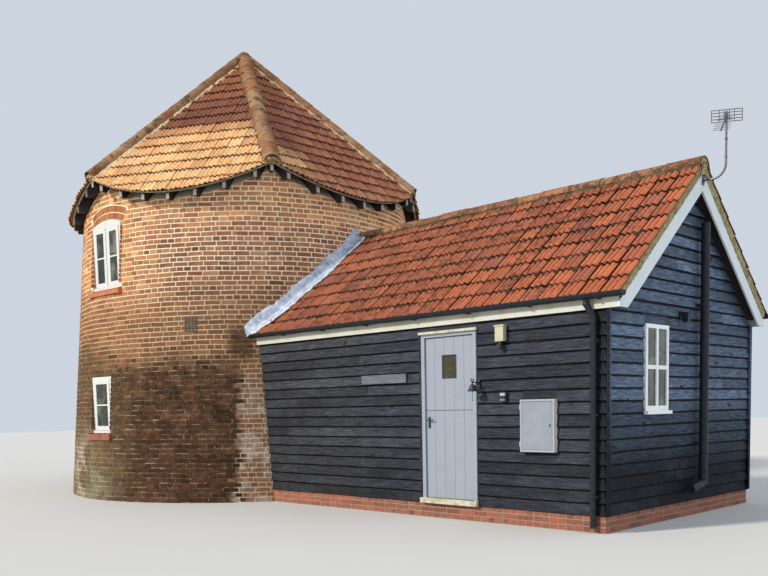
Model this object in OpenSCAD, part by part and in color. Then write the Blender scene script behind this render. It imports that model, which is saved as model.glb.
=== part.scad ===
// Oast house: a round, battered brick tower under a six-sided tiled roof, and a low boarded wing
// with a pantiled gable roof and a stable door. The origin is the axis of the tower at ground level,
// +X runs along the wing to its gable, -Y is the side with the door and +Z is up. Sizes in mm.

/* [Tower wall] */
// Radius of the outer brick face at ground level
tower_base_r = 3410; // [3300:10:3500]
// Inward lean of the brick face, in mm for each 1000 mm of height
tower_batter = 85; // [70:1:95]
// Thickness of the brick wall
tower_wall_t = 330; // [280:10:360]
// Height of the wall top at the middle of a roof slope
tower_wall_h = 4810; // [4760:10:4880]
// Height of the upper window's sill above the boards of the upper floor
upper_sill_up = 940; // [900:10:980]
// Thickness of the upper floor with its joists
upper_floor_t = 180; // [120:10:220]
// Width of the doorway between the tower and the wing
inner_door_w = 840; // [760:10:900]
// Height of that doorway
inner_door_h = 1990; // [1900:10:2050]
// Direction of the two tower windows, in degrees from the wing's axis
tower_window_az = -88; // [-92:1:-86]

/* [Tower roof] */
// Pitch of the slopes, in degrees
tower_pitch = 44.7; // [44:0.1:46]
// Radius of the round eave
tower_eave_r = 3225; // [3180:5:3280]
// Thickness of the tile layer, square to the slope
tower_tile_t = 55; // [40:1:70]
// Depth of the battens under the tiles
batten_t = 38; // [25:1:45]
// Depth of a common rafter
rafter_d = 150; // [120:5:160]
// Width of a rafter
rafter_w = 50; // [40:1:60]
// Distance between rafters
rafter_gap = 450; // [400:10:520]
// Distance from the eave back to the rafter ends
rafter_end_back = 45; // [30:1:60]
// Depth of a rafter's level-cut end
rafter_end_d = 84; // [70:1:90]
// Radius of the half-round hip tiles
hip_tile_r = 130; // [120:1:140]
// Depth that the middle of a hip tile lies below the tiled planes' corner
hip_tile_sink = 68; // [60:1:75]
// Length of a hip tile that shows
hip_tile_gauge = 420; // [380:10:450]

/* [Wing] */
// Distance from the tower axis to the face of the gable
gable_x = 8780; // [8600:10:9000]
// Width of the wing over its boards
wing_w = 3860; // [3760:10:3940]
// Distance from the tower axis to the wing's middle line
wing_mid_y = 80; // [40:5:120]
// Thickness of the boarded wall
wing_wall_t = 180; // [160:5:200]
// Height of the wall top, where the roof's underside meets the face of the boards
wing_wall_h = 2478; // [2450:2:2500]
// Height of the brick plinth
plinth_h = 200; // [150:5:220]
// Distance of the plinth behind the face of the boards
plinth_back = 20; // [10:1:30]
// Height of the inside floors
floor_h = 230; // [225:1:250]

/* [Wing roof] */
// Pitch of the slopes, in degrees
wing_pitch = 40.4; // [40:0.1:40.8]
// Thickness of the tile layer, square to the slope
wing_tile_t = 45; // [35:1:50]
// Thickness of the rafters and boarding under it
wing_rafter_t = 130; // [120:1:140]
// Height of the mortar bed that shows above the bargeboards
verge_bed_h = 105; // [80:5:110]
// Overhang of the tiles past the front and back wall faces
wing_eave_out = 75; // [70:1:90]
// Distance of the bargeboard's face in front of the gable
barge_out = 170; // [140:5:190]
// Thickness of bargeboards and fascias
trim_t = 24; // [20:1:28]
// Height of a bargeboard, square to its length
barge_h = 160; // [140:5:170]
// Height of a fascia
fascia_h = 160; // [130:5:165]
// Radius of the half-round ridge tiles
ridge_tile_r = 125; // [120:1:130]
// Length of a ridge tile
ridge_tile_l = 450; // [400:10:480]
// Outer radius of the gutters
gutter_r = 56; // [50:1:60]
// Radius of the downpipes
downpipe_r = 34; // [30:1:38]

/* [Stable door] */
// Distance from the gable face to the door frame
door_from_gable = 1800; // [1750:10:1900]
// Width over the door frame
door_frame_w = 905; // [880:5:920]
// Distance from the wing's wall top down to the frame's head
door_head_drop = 113; // [100:1:140]
// Width of a jamb
jamb_w = 42; // [38:1:48]
// Thickness of a leaf
leaf_t = 44; // [38:1:50]
// Distance of the leaves behind the frame's face
leaf_back = 26; // [24:1:32]
// Running gap round each leaf
leaf_gap = 7; // [7:0.5:9]
// Height of the joint between the leaves
leaf_joint_h = 1390; // [1300:10:1450]
// Distance from the leaves' joint down to the lever
lever_drop = 122; // [110:2:140]
// Width of the boards that a leaf is made of
leaf_board_w = 148; // [120:1:170]
// Width of the small pane
pane_w = 245; // [200:5:280]
// Height of the small pane
pane_h = 300; // [240:5:320]
// Distance from the frame's head down to the pane
pane_drop = 275; // [240:5:320]

/* [Windows] */
// Width of the upper tower window
upper_win_w = 880; // [800:10:900]
// Distance from the tower's wall top down to the sides of the upper window's head
upper_win_drop = 250; // [240:5:300]
// Height of its frame at the sides
upper_win_h = 1060; // [1000:10:1080]
// Rise of its arched head
upper_win_rise = 75; // [50:5:90]
// Width of the lower tower window
lower_win_w = 600; // [540:10:640]
// Height of the lower tower window's sill
lower_win_z = 1105; // [1050:5:1150]
// Height of its frame
lower_win_h = 940; // [880:10:980]
// Width of the gable window
gable_win_w = 565; // [520:5:600]
// Distance from the wing's wall top down to the gable window's head
gable_win_drop = 128; // [100:2:160]
// Height of its frame
gable_win_h = 1010; // [960:10:1040]
// Distance from the front wall face to the gable window
gable_win_y = 850; // [800:10:900]
// Width of the outer members of a tower window's frame
win_bar = 60; // [50:1:66]
// Width of the stiles and rails of a hung light
sash_bar = 68; // [50:1:70]
// Width that a hung light laps its frame
sash_lap = 8; // [5:1:12]
// Distance that a hung light stands in front of its frame
sash_proud = 12; // [8:1:16]
// Width of a glazing bar
glazing_bar = 24; // [20:1:30]
// Width of the outer members of the gable window's frame
gable_bar = 46; // [40:1:55]
// Width of the gable window's cross bars
gable_cross = 46; // [36:1:55]
// Depth of a window frame
win_d = 75; // [60:1:90]
// Thickness of the glass
glass_t = 12; // [6:1:16]

/* [Fittings] */
// Width of the meter box
meter_w = 470; // [450:5:490]
// Height of the meter box
meter_h = 610; // [560:5:640]
// Depth of the meter box
meter_d = 170; // [150:5:200]
// Part of the meter box in front of the boards
meter_proud = 30; // [25:1:40]
// Length of the bare sign plank
sign_l = 840; // [700:10:900]
// Radius of the soil pipe
soil_pipe_r = 55; // [50:1:57]
// Radius of the bell's mouth
bell_r = 64; // [56:1:70]
// Height of the bell
bell_h = 88; // [84:1:96]
// Distance of the bell's axis from the wall
bell_out = 130; // [110:5:150]
// Length of the clapper rod below the mouth of the bell
bell_pull = 110; // [90:5:130]
// Distance of the aerial's mast from the bargeboards
aerial_out = 280; // [240:10:320]
// Height of the aerial's mast above its clamp
aerial_h = 745; // [650:5:850]
// Direction that the aerial points in, seen from above
aerial_turn = -150; // [-180:1:180]
// Radius of the bend in the aerial's arm
aerial_bend = 150; // [120:5:170]
// Length of the aerial's boom
boom_l = 560; // [480:10:600]
// Width of the aerial's reflector
reflector_w = 350; // [300:10:380]

/* [Hidden] */
$fn = 64;
fine = 360;
big = 12000;
seat = 0.3;
batter = tower_batter / 1000;
sash_in = 30;
tower_slope = tan(tower_pitch);
wing_slope = tan(wing_pitch);
front_y = wing_mid_y - wing_w / 2;
back_y = wing_mid_y + wing_w / 2;
rafter_drop = (batten_t + rafter_d) / cos(tower_pitch);
tower_apex_h = tower_wall_h + rafter_drop + tower_r(tower_wall_h) * tower_slope;
wing_tile_v = wing_tile_t / cos(wing_pitch);
wing_roof_v = (wing_tile_t + wing_rafter_t) / cos(wing_pitch);
wing_apex_h = wing_wall_h + wing_roof_v + wing_w / 2 * wing_slope;
barge_x = gable_x + barge_out;
wing_x0 = tower_base_r - 1410;
door_head_h = wing_wall_h - door_head_drop;
upper_win_z = tower_wall_h - upper_win_drop - upper_win_h;
upper_floor_h = upper_win_z - upper_sill_up;
gable_win_z = wing_wall_h - gable_win_drop - gable_win_h;
pane_z = door_head_h - pane_drop - pane_h;
verge_x = barge_x + 30;
barge_top = wing_apex_h - wing_tile_v - verge_bed_h;
ridge_sink = 90;
door_x1 = gable_x - door_from_gable;
door_x0 = door_x1 - door_frame_w;
door_sill_t = 25;
door_bottom = floor_h + door_sill_t;
bay = 45;
bay0 = tower_window_az - bay / 2;
upper_frame_r = tower_base_r - batter * (upper_win_z + upper_win_h) + 4;
lower_frame_r = tower_base_r - batter * (lower_win_z + lower_win_h) + 4;

function tower_r(z) = tower_base_r - batter * z;

// Solid cone that follows the tower's brick face, grown outwards by a distance
module tower_cone(grow = 0, top = tower_apex_h) {
    translate([0, 0, -1])
        cylinder(h = top + 1, r1 = tower_r(-1) + grow, r2 = tower_r(top) + grow, $fn = fine);
}

// Sector of a plan, from one direction to another less than half a turn away
module sector(a0, a1, r = 5000) {
    m = (a0 + a1) / 2;
    k = r / cos((a1 - a0) / 2);
    translate([0, 0, -100])
        linear_extrude(height = big)
            polygon([[0, 0], [k * cos(a0), k * sin(a0)], [k * cos(a1), k * sin(a1)]]);
}

// Everything above the six planes of the tower roof, dropped by a height
module above_tower_roof(drop = 0) {
    for (k = [0:5])
        rotate([0, 0, 60 * k])
            translate([0, 6000, 0])
                rotate([90, 0, 0])
                    linear_extrude(height = 12000)
                        polygon([
                            [-600, tower_apex_h - drop + 600 * tower_slope],
                            [5000, tower_apex_h - drop - 5000 * tower_slope],
                            [5000, big],
                            [-600, big]
                        ]);
}

// Outline of a window with an arched head, in its own plane, from the middle of its sill
module arched_shape(w, h, rise) {
    if (rise <= 0)
        translate([-w / 2, 0])
            square([w, h]);
    else {
        r = (w * w / 4 + rise * rise) / (2 * rise);
        intersection() {
            translate([-w / 2, 0])
                square([w, h + rise]);
            translate([0, h + rise - r])
                circle(r = r);
        }
    }
}

// Moves children from a window's own plane onto the tower at a radius and height
module at_tower_window(r, z) {
    rotate([0, 0, tower_window_az])
        translate([r, 0, z])
            rotate([90, 0, 90])
                children();
}

module tower_window_hole(w, h, rise, z) {
    at_tower_window(tower_r(z) - tower_wall_t - 200, z)
        linear_extrude(height = 900)
            arched_shape(w, h, rise);
}

module tower_wall_bay(i) {
    difference() {
        intersection() {
            tower_cone();
            translate([-5000, -5000, 0])
                cube([10000, 10000, tower_apex_h]);
            sector(bay0 + bay * i, bay0 + bay * (i + 1));
        }
        translate([0, 0, -1])
            tower_cone(-tower_wall_t, tower_apex_h + 2);
        above_tower_roof(rafter_drop + seat);
        if (i == 0) {
            tower_window_hole(upper_win_w, upper_win_h, upper_win_rise, upper_win_z);
            tower_window_hole(lower_win_w, lower_win_h, 0, lower_win_z);
            tower_sill_blocks(2);
        }
        if (i == 2)
            translate([wing_x0, -inner_door_w / 2, floor_h])
                cube([2 * tower_base_r, inner_door_w, inner_door_h]);
    }
}

module tower_wall_front() { color("indianred") tower_wall_bay(0); }
module tower_wall_front_right() { color("indianred") tower_wall_bay(1); }
module tower_wall_inner() { color("indianred") tower_wall_bay(2); }
module tower_wall_back_right() { color("indianred") tower_wall_bay(3); }
module tower_wall_back() { color("indianred") tower_wall_bay(4); }
module tower_wall_back_left() { color("indianred") tower_wall_bay(5); }
module tower_wall_left() { color("indianred") tower_wall_bay(6); }
module tower_wall_front_left() { color("indianred") tower_wall_bay(7); }

module tower_floor_disc(z0, z1) {
    intersection() {
        tower_cone(-tower_wall_t - 2 * seat);
        translate([0, 0, z0])
            cylinder(h = z1 - z0, r = 4000, $fn = fine);
    }
}

module tower_ground_floor() { color("gray") tower_floor_disc(0, floor_h); }
module tower_upper_floor() { color("burlywood") tower_floor_disc(upper_floor_h - upper_floor_t, upper_floor_h); }

// Slab on one slope of the tower roof, between two heights over its underside, cut round at the eave
module tower_slope_slab(bottom, top, r) {
    intersection() {
        translate([0, 3000, 0])
            rotate([90, 0, 0])
                linear_extrude(height = 6000)
                    polygon([
                        [0, tower_apex_h + bottom],
                        [4000, tower_apex_h - 4000 * tower_slope + bottom],
                        [4000, tower_apex_h - 4000 * tower_slope + top],
                        [0, tower_apex_h + top]
                    ]);
        sector(-30, 30);
        cylinder(h = big, r = r, $fn = fine);
    }
}

// One slope of tiles on the boarding and battens that carry it
module tower_roof_slope(k) {
    rotate([0, 0, 60 * k])
        union() {
            tower_slope_slab(0, tower_tile_t / cos(tower_pitch), tower_eave_r);
            tower_slope_slab(-batten_t / cos(tower_pitch), 10, tower_eave_r - rafter_end_back);
        }
}

module tower_roof_1() { color("peru") tower_roof_slope(0); }
module tower_roof_2() { color("peru") tower_roof_slope(1); }
module tower_roof_3() { color("peru") tower_roof_slope(2); }
module tower_roof_4() { color("peru") tower_roof_slope(3); }
module tower_roof_5() { color("peru") tower_roof_slope(4); }
module tower_roof_6() { color("peru") tower_roof_slope(5); }

// A rafter of the tower as a strip along +X, offset to one side of its slope's middle line
module tower_rafter(start, top_v, slope, side) {
    tip = sqrt(pow(tower_eave_r - rafter_end_back, 2) - pow(side, 2));
    foot = tip - (rafter_drop - top_v - rafter_end_d) / slope;
    translate([0, side + rafter_w / 2, 0])
        rotate([90, 0, 0])
            linear_extrude(height = rafter_w)
                polygon([
                    [start, tower_apex_h - top_v - start * slope],
                    [tip, tower_apex_h - top_v - tip * slope],
                    [tip, tower_apex_h - rafter_drop - foot * slope],
                    [foot, tower_apex_h - rafter_drop - foot * slope],
                    [start, tower_apex_h - rafter_drop - start * slope]
                ]);
}

// Common rafters on the six slopes, and hip rafters that meet at a round king block
module tower_rafters() {
    rows = floor(tower_eave_r * sin(30) / rafter_gap);
    batten_v = batten_t / cos(tower_pitch);
    hub_r = 160;
    color("tan") {
        for (k = [0:5], j = [-rows:rows])
            rotate([0, 0, 60 * k])
                tower_rafter(j == 0 ? hub_r + 3 : (abs(j) * rafter_gap + rafter_w / 2) / tan(30)
                    + rafter_w / 2 / sin(30) + 3, batten_v + seat, tower_slope, j * rafter_gap);
        union() {
            for (k = [0:5])
                rotate([0, 0, 60 * k + 30])
                    tower_rafter(100, batten_v + 15, tower_slope * cos(30), 0);
            translate([0, 0, tower_apex_h - rafter_drop - hub_r * tower_slope])
                cylinder(h = rafter_drop - batten_v - 5, r = hub_r);
        }
    }
}

// Half-round tiles along the six hips, each lapping the one below it, bedded on the slopes
module tower_hip_tiles() {
    tile_v = tower_tile_t / cos(tower_pitch);
    hip_pitch = atan(tower_slope * cos(30));
    reach = (tower_eave_r + 20) / cos(hip_pitch);
    rows = round(reach / hip_tile_gauge);
    step = reach / rows;
    color("chocolate")
        difference() {
            union() {
                for (k = [0:5])
                    rotate([0, 0, 60 * k + 30])
                        translate([0, 0, tower_apex_h + tile_v])
                            rotate([0, 90 + hip_pitch, 0])
                                translate([hip_tile_sink, 0, 0]) {
                                    cylinder(h = reach, r = hip_tile_r);
                                    for (i = [1:rows])
                                        translate([0, 0, i * step - 50])
                                            cylinder(h = 50, r = hip_tile_r + 8);
                                }
                translate([0, 0, tower_apex_h + tile_v - hip_tile_sink / cos(hip_pitch)])
                    sphere(r = hip_tile_r);
            }
            difference() {
                translate([0, 0, 3000])
                    cylinder(h = big, r = 4500);
                above_tower_roof(-tile_v - seat);
            }
        }
}

// Window in its own plane: a frame with a light hung in front of each opening, glazing bars and a sill
module window_frame(w, h, rise, lights, rows, clear = 3) {
    fw = w - 2 * clear;
    lw = (fw - (lights + 1) * win_bar) / lights;
    lh = h - clear - 2 * win_bar;
    difference() {
        linear_extrude(height = win_d)
            arched_shape(fw, h - clear, rise);
        for (i = [0:lights - 1])
            translate([-fw / 2 + win_bar + i * (lw + win_bar), win_bar, -1])
                cube([lw, lh, win_d + 2]);
    }
    for (i = [0:lights - 1])
        translate([-fw / 2 + win_bar + i * (lw + win_bar), win_bar, 0])
            hung_light(lw, lh, rows);
    translate([-fw / 2, 0, win_d - 1])
        cube([fw, win_bar - sash_lap - 6, 30]);
}

// Hung light over an opening, with its inner corner at the origin
module hung_light(lw, lh, rows) {
    gw = lw + 2 * sash_lap - 2 * sash_bar;
    gh = (lh + 2 * sash_lap - 2 * sash_bar - (rows - 1) * glazing_bar) / rows;
    translate([-sash_lap, -sash_lap, win_d - sash_in])
        difference() {
            cube([lw + 2 * sash_lap, lh + 2 * sash_lap, sash_in + sash_proud]);
            for (b = [0:rows - 1])
                translate([sash_bar, sash_bar + b * (gh + glazing_bar), -1])
                    cube([gw, gh, sash_in + sash_proud + 2]);
        }
}

// Sheets of glass for the lights of such a window
module window_panes(w, h, lights, grow, clear = 3) {
    fw = w - 2 * clear;
    lw = (fw - (lights + 1) * win_bar) / lights;
    lh = h - clear - 2 * win_bar;
    edge = sash_bar - sash_lap - 7;
    for (i = [0:lights - 1])
        translate([-fw / 2 + win_bar + i * (lw + win_bar) + edge, win_bar + edge,
            win_d + (sash_proud - sash_in) / 2 - glass_t / 2 - grow])
            cube([lw - 2 * edge, lh - 2 * edge, glass_t + 2 * grow]);
}

module tower_upper_window() {
    color("white")
        difference() {
            at_tower_window(upper_frame_r - win_d, upper_win_z)
                window_frame(upper_win_w, upper_win_h, upper_win_rise, 2, 2);
            tower_glass(1);
        }
}

module tower_lower_window() {
    color("white")
        difference() {
            at_tower_window(lower_frame_r - win_d, lower_win_z)
                window_frame(lower_win_w, lower_win_h, 0, 1, 2);
            tower_glass(1);
        }
}

// Sheets of glass, let into the lights by a groove
module tower_glass(grow = 0) {
    at_tower_window(upper_frame_r - win_d, upper_win_z)
        window_panes(upper_win_w, upper_win_h, 2, grow);
    at_tower_window(lower_frame_r - win_d, lower_win_z)
        window_panes(lower_win_w, lower_win_h, 1, grow);
}

module tower_window_glass() { color("lightcyan") tower_glass(0); }

// Sloping sills of bricks on edge below the two tower windows
module tower_sill_blocks(grow = 0) {
    for (s = [[upper_win_w + 90, upper_win_z, 105], [lower_win_w + 90, lower_win_z, 115]])
        at_tower_window(tower_r(s[1]) - 190, s[1] - s[2] - grow)
            linear_extrude(height = 225)
                translate([-s[0] / 2 - grow, 0])
                    square([s[0] + 2 * grow, s[2] + grow]);
}

module tower_window_sills() {
    color("firebrick")
        tower_sill_blocks(0);
}

// Cast grille on the brickwork, open between its bars
module tower_vent_plate() {
    color("dimgray")
        rotate([0, 0, -54.5])
            translate([tower_r(2810) + 6.3, 0, 2810])
                rotate([0, -atan(batter), 0])
                    difference() {
                        cube([12, 195, 240], center = true);
                        for (i = [-1:1], j = [-1.5:1.5])
                            translate([0, i * 58, j * 54])
                                cube([20, 42, 36], center = true);
                    }
}

// Strip of the wing's length, as a profile in Y and Z from one X to another
module along_wing(x0, x1) {
    translate([x0, 0, 0])
        rotate([90, 0, 90])
            linear_extrude(height = x1 - x0)
                children();
}

// Everything above one wing roof plane, on both sides of the ridge
module roof_profile(top, bottom, out) {
    for (s = [-1, 1])
        polygon([
            [wing_mid_y, top],
            [wing_mid_y + s * out, top - out * wing_slope],
            [wing_mid_y + s * out, bottom - out * wing_slope],
            [wing_mid_y, bottom]
        ]);
}

module below_wing_roof() {
    along_wing(0, big)
        polygon([
            [wing_mid_y - 3000, -1],
            [wing_mid_y + 3000, -1],
            [wing_mid_y + 3000, wing_apex_h - wing_roof_v - seat - 3000 * wing_slope],
            [wing_mid_y, wing_apex_h - wing_roof_v - seat],
            [wing_mid_y - 3000, wing_apex_h - wing_roof_v - seat - 3000 * wing_slope]
        ]);
}

module wing_plinth() {
    inset = plinth_back + wing_wall_t;
    color("firebrick")
        difference() {
            translate([wing_x0, front_y + plinth_back, 0])
                cube([gable_x - plinth_back - wing_x0, wing_w - 2 * plinth_back, plinth_h]);
            translate([wing_x0 - 1, front_y + inset, -1])
                cube([gable_x - inset - wing_x0 + 1, wing_w - 2 * inset, plinth_h + 2]);
            tower_cone();
        }
}

module wing_floor() {
    inset = plinth_back + wing_wall_t;
    color("gray")
        difference() {
            translate([wing_x0, front_y + inset, 0])
                cube([gable_x - inset - wing_x0, wing_w - 2 * inset, floor_h]);
            tower_cone();
        }
}

module front_wall_part(x0, x1, z0, z1) {
    difference() {
        intersection() {
            translate([x0, front_y, z0])
                cube([x1 - x0, wing_wall_t, z1 - z0]);
            below_wing_roof();
        }
        tower_cone();
    }
}

module front_wall_left() {
    color("darkslategray")
        front_wall_part(wing_x0, door_x0, plinth_h, wing_apex_h);
}

module front_wall_right() {
    color("darkslategray")
        difference() {
            front_wall_part(door_x1, gable_x, plinth_h, wing_apex_h);
            translate([meter_x, front_y - 50, meter_z])
                cube([meter_w, meter_d - meter_proud + 50, meter_h]);
        }
}

module front_wall_over_door() {
    color("darkslategray")
        front_wall_part(door_x0, door_x1, door_head_h, wing_apex_h);
}

module gable_wall() {
    color("darkslategray")
        difference() {
            intersection() {
                translate([gable_x - wing_wall_t, front_y + wing_wall_t, plinth_h])
                    cube([wing_wall_t, wing_w - 2 * wing_wall_t, wing_apex_h]);
                below_wing_roof();
            }
            translate([gable_x - wing_wall_t - 10, front_y + gable_win_y, gable_win_z])
                cube([wing_wall_t + 20, gable_win_w, gable_win_h]);
        }
}

module back_wall() {
    color("darkslategray")
        difference() {
            intersection() {
                translate([wing_x0, back_y - wing_wall_t, plinth_h])
                    cube([gable_x - wing_x0, wing_wall_t, wing_apex_h]);
                below_wing_roof();
            }
            tower_cone();
        }
}

// One slope of the wing roof: tiles over rafters and boarding
module wing_slope_solid(s) {
    difference() {
        intersection() {
            union() {
                along_wing(wing_x0, verge_x)
                    roof_profile(wing_apex_h, wing_apex_h - wing_tile_v, wing_w / 2 + wing_eave_out);
                along_wing(barge_x - trim_t - 1, barge_x + 10)
                    roof_profile(wing_apex_h - 10, barge_top + seat, wing_w / 2);
                along_wing(wing_x0, barge_x - trim_t)
                    roof_profile(wing_apex_h - 10, wing_apex_h - wing_roof_v, wing_w / 2);
            }
            translate([0, s > 0 ? wing_mid_y : wing_mid_y - 4000, 0])
                cube([big, 4000, big]);
        }
        tower_cone();
    }
}

module wing_roof_front() { color("orangered") wing_slope_solid(-1); }
module wing_roof_back() { color("orangered") wing_slope_solid(1); }

// Half-round tiles along the ridge, each with a rim at its end
module wing_ridge_tiles() {
    x0 = wing_x0 + 500;
    rows = round((verge_x - x0) / ridge_tile_l);
    step = (verge_x - x0) / rows;
    color("sienna")
        difference() {
            translate([x0, wing_mid_y, wing_apex_h - ridge_sink])
                rotate([0, 90, 0]) {
                    cylinder(h = verge_x - x0, r = ridge_tile_r);
                    for (i = [1:rows])
                        translate([0, 0, i * step - 36])
                            cylinder(h = 36, r = ridge_tile_r + 6);
                }
            along_wing(wing_x0, big)
                polygon([
                    [wing_mid_y - 500, wing_apex_h + seat - 500 * wing_slope],
                    [wing_mid_y, wing_apex_h + seat],
                    [wing_mid_y + 500, wing_apex_h + seat - 500 * wing_slope],
                    [wing_mid_y + 500, wing_wall_h],
                    [wing_mid_y - 500, wing_wall_h]
                ]);
            tower_cone();
        }
}

// Lead apron on the tiles and the upstand against the brickwork
module roof_flashing() {
    color("lightsteelblue")
        for (s = [-1, 1])
            difference() {
                union() {
                    intersection() {
                        along_wing(wing_x0, tower_base_r + 1090)
                            roof_profile(wing_apex_h + 12, wing_apex_h + seat, wing_w / 2 + 40);
                        tower_cone(230);
                    }
                    intersection() {
                        along_wing(wing_x0, tower_base_r + 1090)
                            roof_profile(wing_apex_h + 180, wing_apex_h + 2, wing_w / 2 + 40);
                        tower_cone(10);
                    }
                }
                tower_cone();
                translate([wing_x0, wing_mid_y - ridge_tile_r - 2, wing_wall_h])
                    cube([tower_base_r, 2 * ridge_tile_r + 4, wing_apex_h]);
                translate([0, s > 0 ? wing_mid_y - 4000 : wing_mid_y, 0])
                    cube([big, 4000, big]);
            }
}

module bargeboards() {
    barge_v = barge_h / cos(wing_pitch);
    color("whitesmoke")
        for (s = [-1, 1])
            intersection() {
                along_wing(barge_x - trim_t, barge_x)
                    roof_profile(barge_top, barge_top - barge_v, wing_w / 2 + 30);
                translate([0, s > 0 ? wing_mid_y : wing_mid_y - 4000, fascia_bottom()])
                    cube([big, 4000, big]);
            }
}

function fascia_bottom() = wing_apex_h - wing_roof_v - wing_w / 2 * wing_slope - 15;

module fascias() {
    color("whitesmoke")
        difference() {
            for (y = [front_y - trim_t, back_y])
                intersection() {
                    translate([wing_x0, y, fascia_bottom()])
                        cube([barge_x - trim_t - wing_x0, trim_t, fascia_h]);
                    along_wing(wing_x0, big)
                        polygon([
                            [wing_mid_y - 3000, 0],
                            [wing_mid_y + 3000, 0],
                            [wing_mid_y + 3000, wing_apex_h - wing_tile_v - seat - 3000 * wing_slope],
                            [wing_mid_y, wing_apex_h - wing_tile_v - seat],
                            [wing_mid_y - 3000, wing_apex_h - wing_tile_v - seat - 3000 * wing_slope]
                        ]);
                }
            tower_cone();
        }
}

function gutter_z() = wing_apex_h - wing_tile_v - (wing_w / 2 + trim_t) * wing_slope - 8;

// Half-round gutters along both eaves, with closed ends, a lip on the outer edge and arms under them
module gutters() {
    t = 4;
    l = barge_x + 75 - wing_x0;
    color("dimgray")
        for (s = [-1, 1]) {
            y = wing_mid_y + s * (wing_w / 2 + trim_t + gutter_r);
            difference() {
                translate([wing_x0, y, gutter_z()])
                    union() {
                        rotate([0, 90, 0])
                            difference() {
                                cylinder(h = l, r = gutter_r);
                                translate([0, 0, t])
                                    cylinder(h = l - 2 * t, r = gutter_r - t);
                                translate([-200, -100, -1])
                                    cube([200, 200, big]);
                            }
                        translate([0, s > 0 ? gutter_r - t : -gutter_r - 3, -6])
                            cube([l, t + 3, 10]);
                        translate([l - t, -gutter_r, -6])
                            cube([t, 2 * gutter_r, 12]);
                    }
                tower_cone(2);
            }
            for (x = [3300:900:barge_x - 100])
                difference() {
                    translate([x, min(y - s * gutter_r + s * seat, y + s * 30), gutter_z() - gutter_r - 8])
                        cube([26, gutter_r + 30 - seat, 20]);
                    translate([x - 1, y, gutter_z()])
                        rotate([0, 90, 0])
                            cylinder(h = 28, r = gutter_r + seat);
                }
        }
}

// Straight pipe between two points, with a ball joint at its end
module pipe(a, b, r, ball = 1.12) {
    d = b - a;
    l = norm(d);
    translate(a)
        rotate([0, acos(d[2] / l), atan2(d[1], d[0])])
            cylinder(h = l, r = r);
    if (ball > 0)
        translate(b)
            sphere(r = r * ball);
}

module downpipes() {
    x = gable_x - 140;
    out = x - 65;
    color("dimgray")
        for (s = [-1, 1]) {
            g = wing_mid_y + s * (wing_w / 2 + trim_t + gutter_r);
            w = wing_mid_y + s * (wing_w / 2 + downpipe_r + 6);
            top = gutter_z() - gutter_r;
            union() {
                pipe([out, g, top], [out, g, top - 50], downpipe_r);
                pipe([out, g, top - 50], [x, w, top - 190], downpipe_r);
                pipe([x, w, top - 190], [x, w, 60], downpipe_r, 0);
                for (z = [400, 1300, 2100])
                    translate([x - 50, min(w, wing_mid_y + s * wing_w / 2), z])
                        cube([100, abs(w - wing_mid_y - s * wing_w / 2), 24]);
            }
        }
}

module corner_boards() {
    color("black")
        for (y = [front_y, back_y - 60])
            translate([gable_x, y, plinth_h])
                cube([22, 60, fascia_bottom() - plinth_h]);
}

module gable_window_place() {
    translate([gable_x - win_d + 12, front_y + gable_win_y + gable_win_w / 2, gable_win_z])
        rotate([90, 0, 90])
            children();
}

module gable_window() {
    fw = gable_win_w - 6;
    pw = (fw - 2 * gable_bar - gable_cross) / 2;
    ph = (gable_win_h - 3 - 2 * gable_bar - 14 - gable_cross) / 2;
    color("white")
        difference() {
            union() {
                gable_window_place()
                    difference() {
                        translate([-fw / 2, 0, 0])
                            cube([fw, gable_win_h - 3, win_d]);
                        for (i = [0, 1], b = [0, 1])
                            translate([-fw / 2 + gable_bar + i * (pw + gable_cross), gable_bar + 14 + b * (ph + gable_cross), -1])
                                cube([pw, ph, win_d + 2]);
                    }
                gable_window_place()
                    translate([-gable_win_w / 2 - 20, -38, win_d - 11.7])
                        cube([gable_win_w + 40, 39, 52]);
            }
            gable_glass(1);
        }
}

module gable_glass(grow = 0) {
    gable_window_place()
        translate([-gable_win_w / 2 + gable_bar - 5, gable_bar + 6, win_d - 30 - grow])
            cube([gable_win_w - 2 * gable_bar + 10, gable_win_h - 2 * gable_bar - 1, glass_t + 2 * grow]);
}

module gable_window_glass() { color("lightcyan") gable_glass(0); }

frame_y = front_y - 6;
leaf_y = frame_y + leaf_back;
leaf_in_y = leaf_y + leaf_t;
leaf_x0 = door_x0 + jamb_w + leaf_gap;
leaf_x1 = door_x1 - jamb_w - leaf_gap;
knuckle_r = 8;
hinge_x = leaf_x1 + leaf_gap / 2;
hinge_y = leaf_in_y + knuckle_r + 1;
stop_w = 12;
groove = 3;

module door_frame() {
    color("whitesmoke")
        union() {
            difference() {
                translate([door_x0, frame_y, plinth_h])
                    cube([door_frame_w, leaf_in_y - frame_y, door_head_h - plinth_h]);
                translate([door_x0 + jamb_w, frame_y - 1, door_bottom])
                    cube([door_frame_w - 2 * jamb_w, leaf_in_y - frame_y + 2, door_head_h - jamb_w - door_bottom]);
            }
            translate([door_x0, leaf_in_y - 1, plinth_h])
                cube([door_frame_w, front_y + wing_wall_t - leaf_in_y + 1, floor_h - plinth_h]);
            for (x = [door_x0 + jamb_w - 1, door_x1 - jamb_w - stop_w])
                translate([x, frame_y, door_bottom])
                    cube([stop_w + 1, leaf_back - 6, door_head_h - jamb_w - door_bottom]);
            translate([door_x0 - 20, frame_y - 45, floor_h - 40])
                cube([door_frame_w + 40, 45 + 1, 40 + door_sill_t]);
            translate([door_x0 - 25, frame_y - 30, door_head_h])
                cube([door_frame_w + 50, 36, 32]);
        }
}

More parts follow.
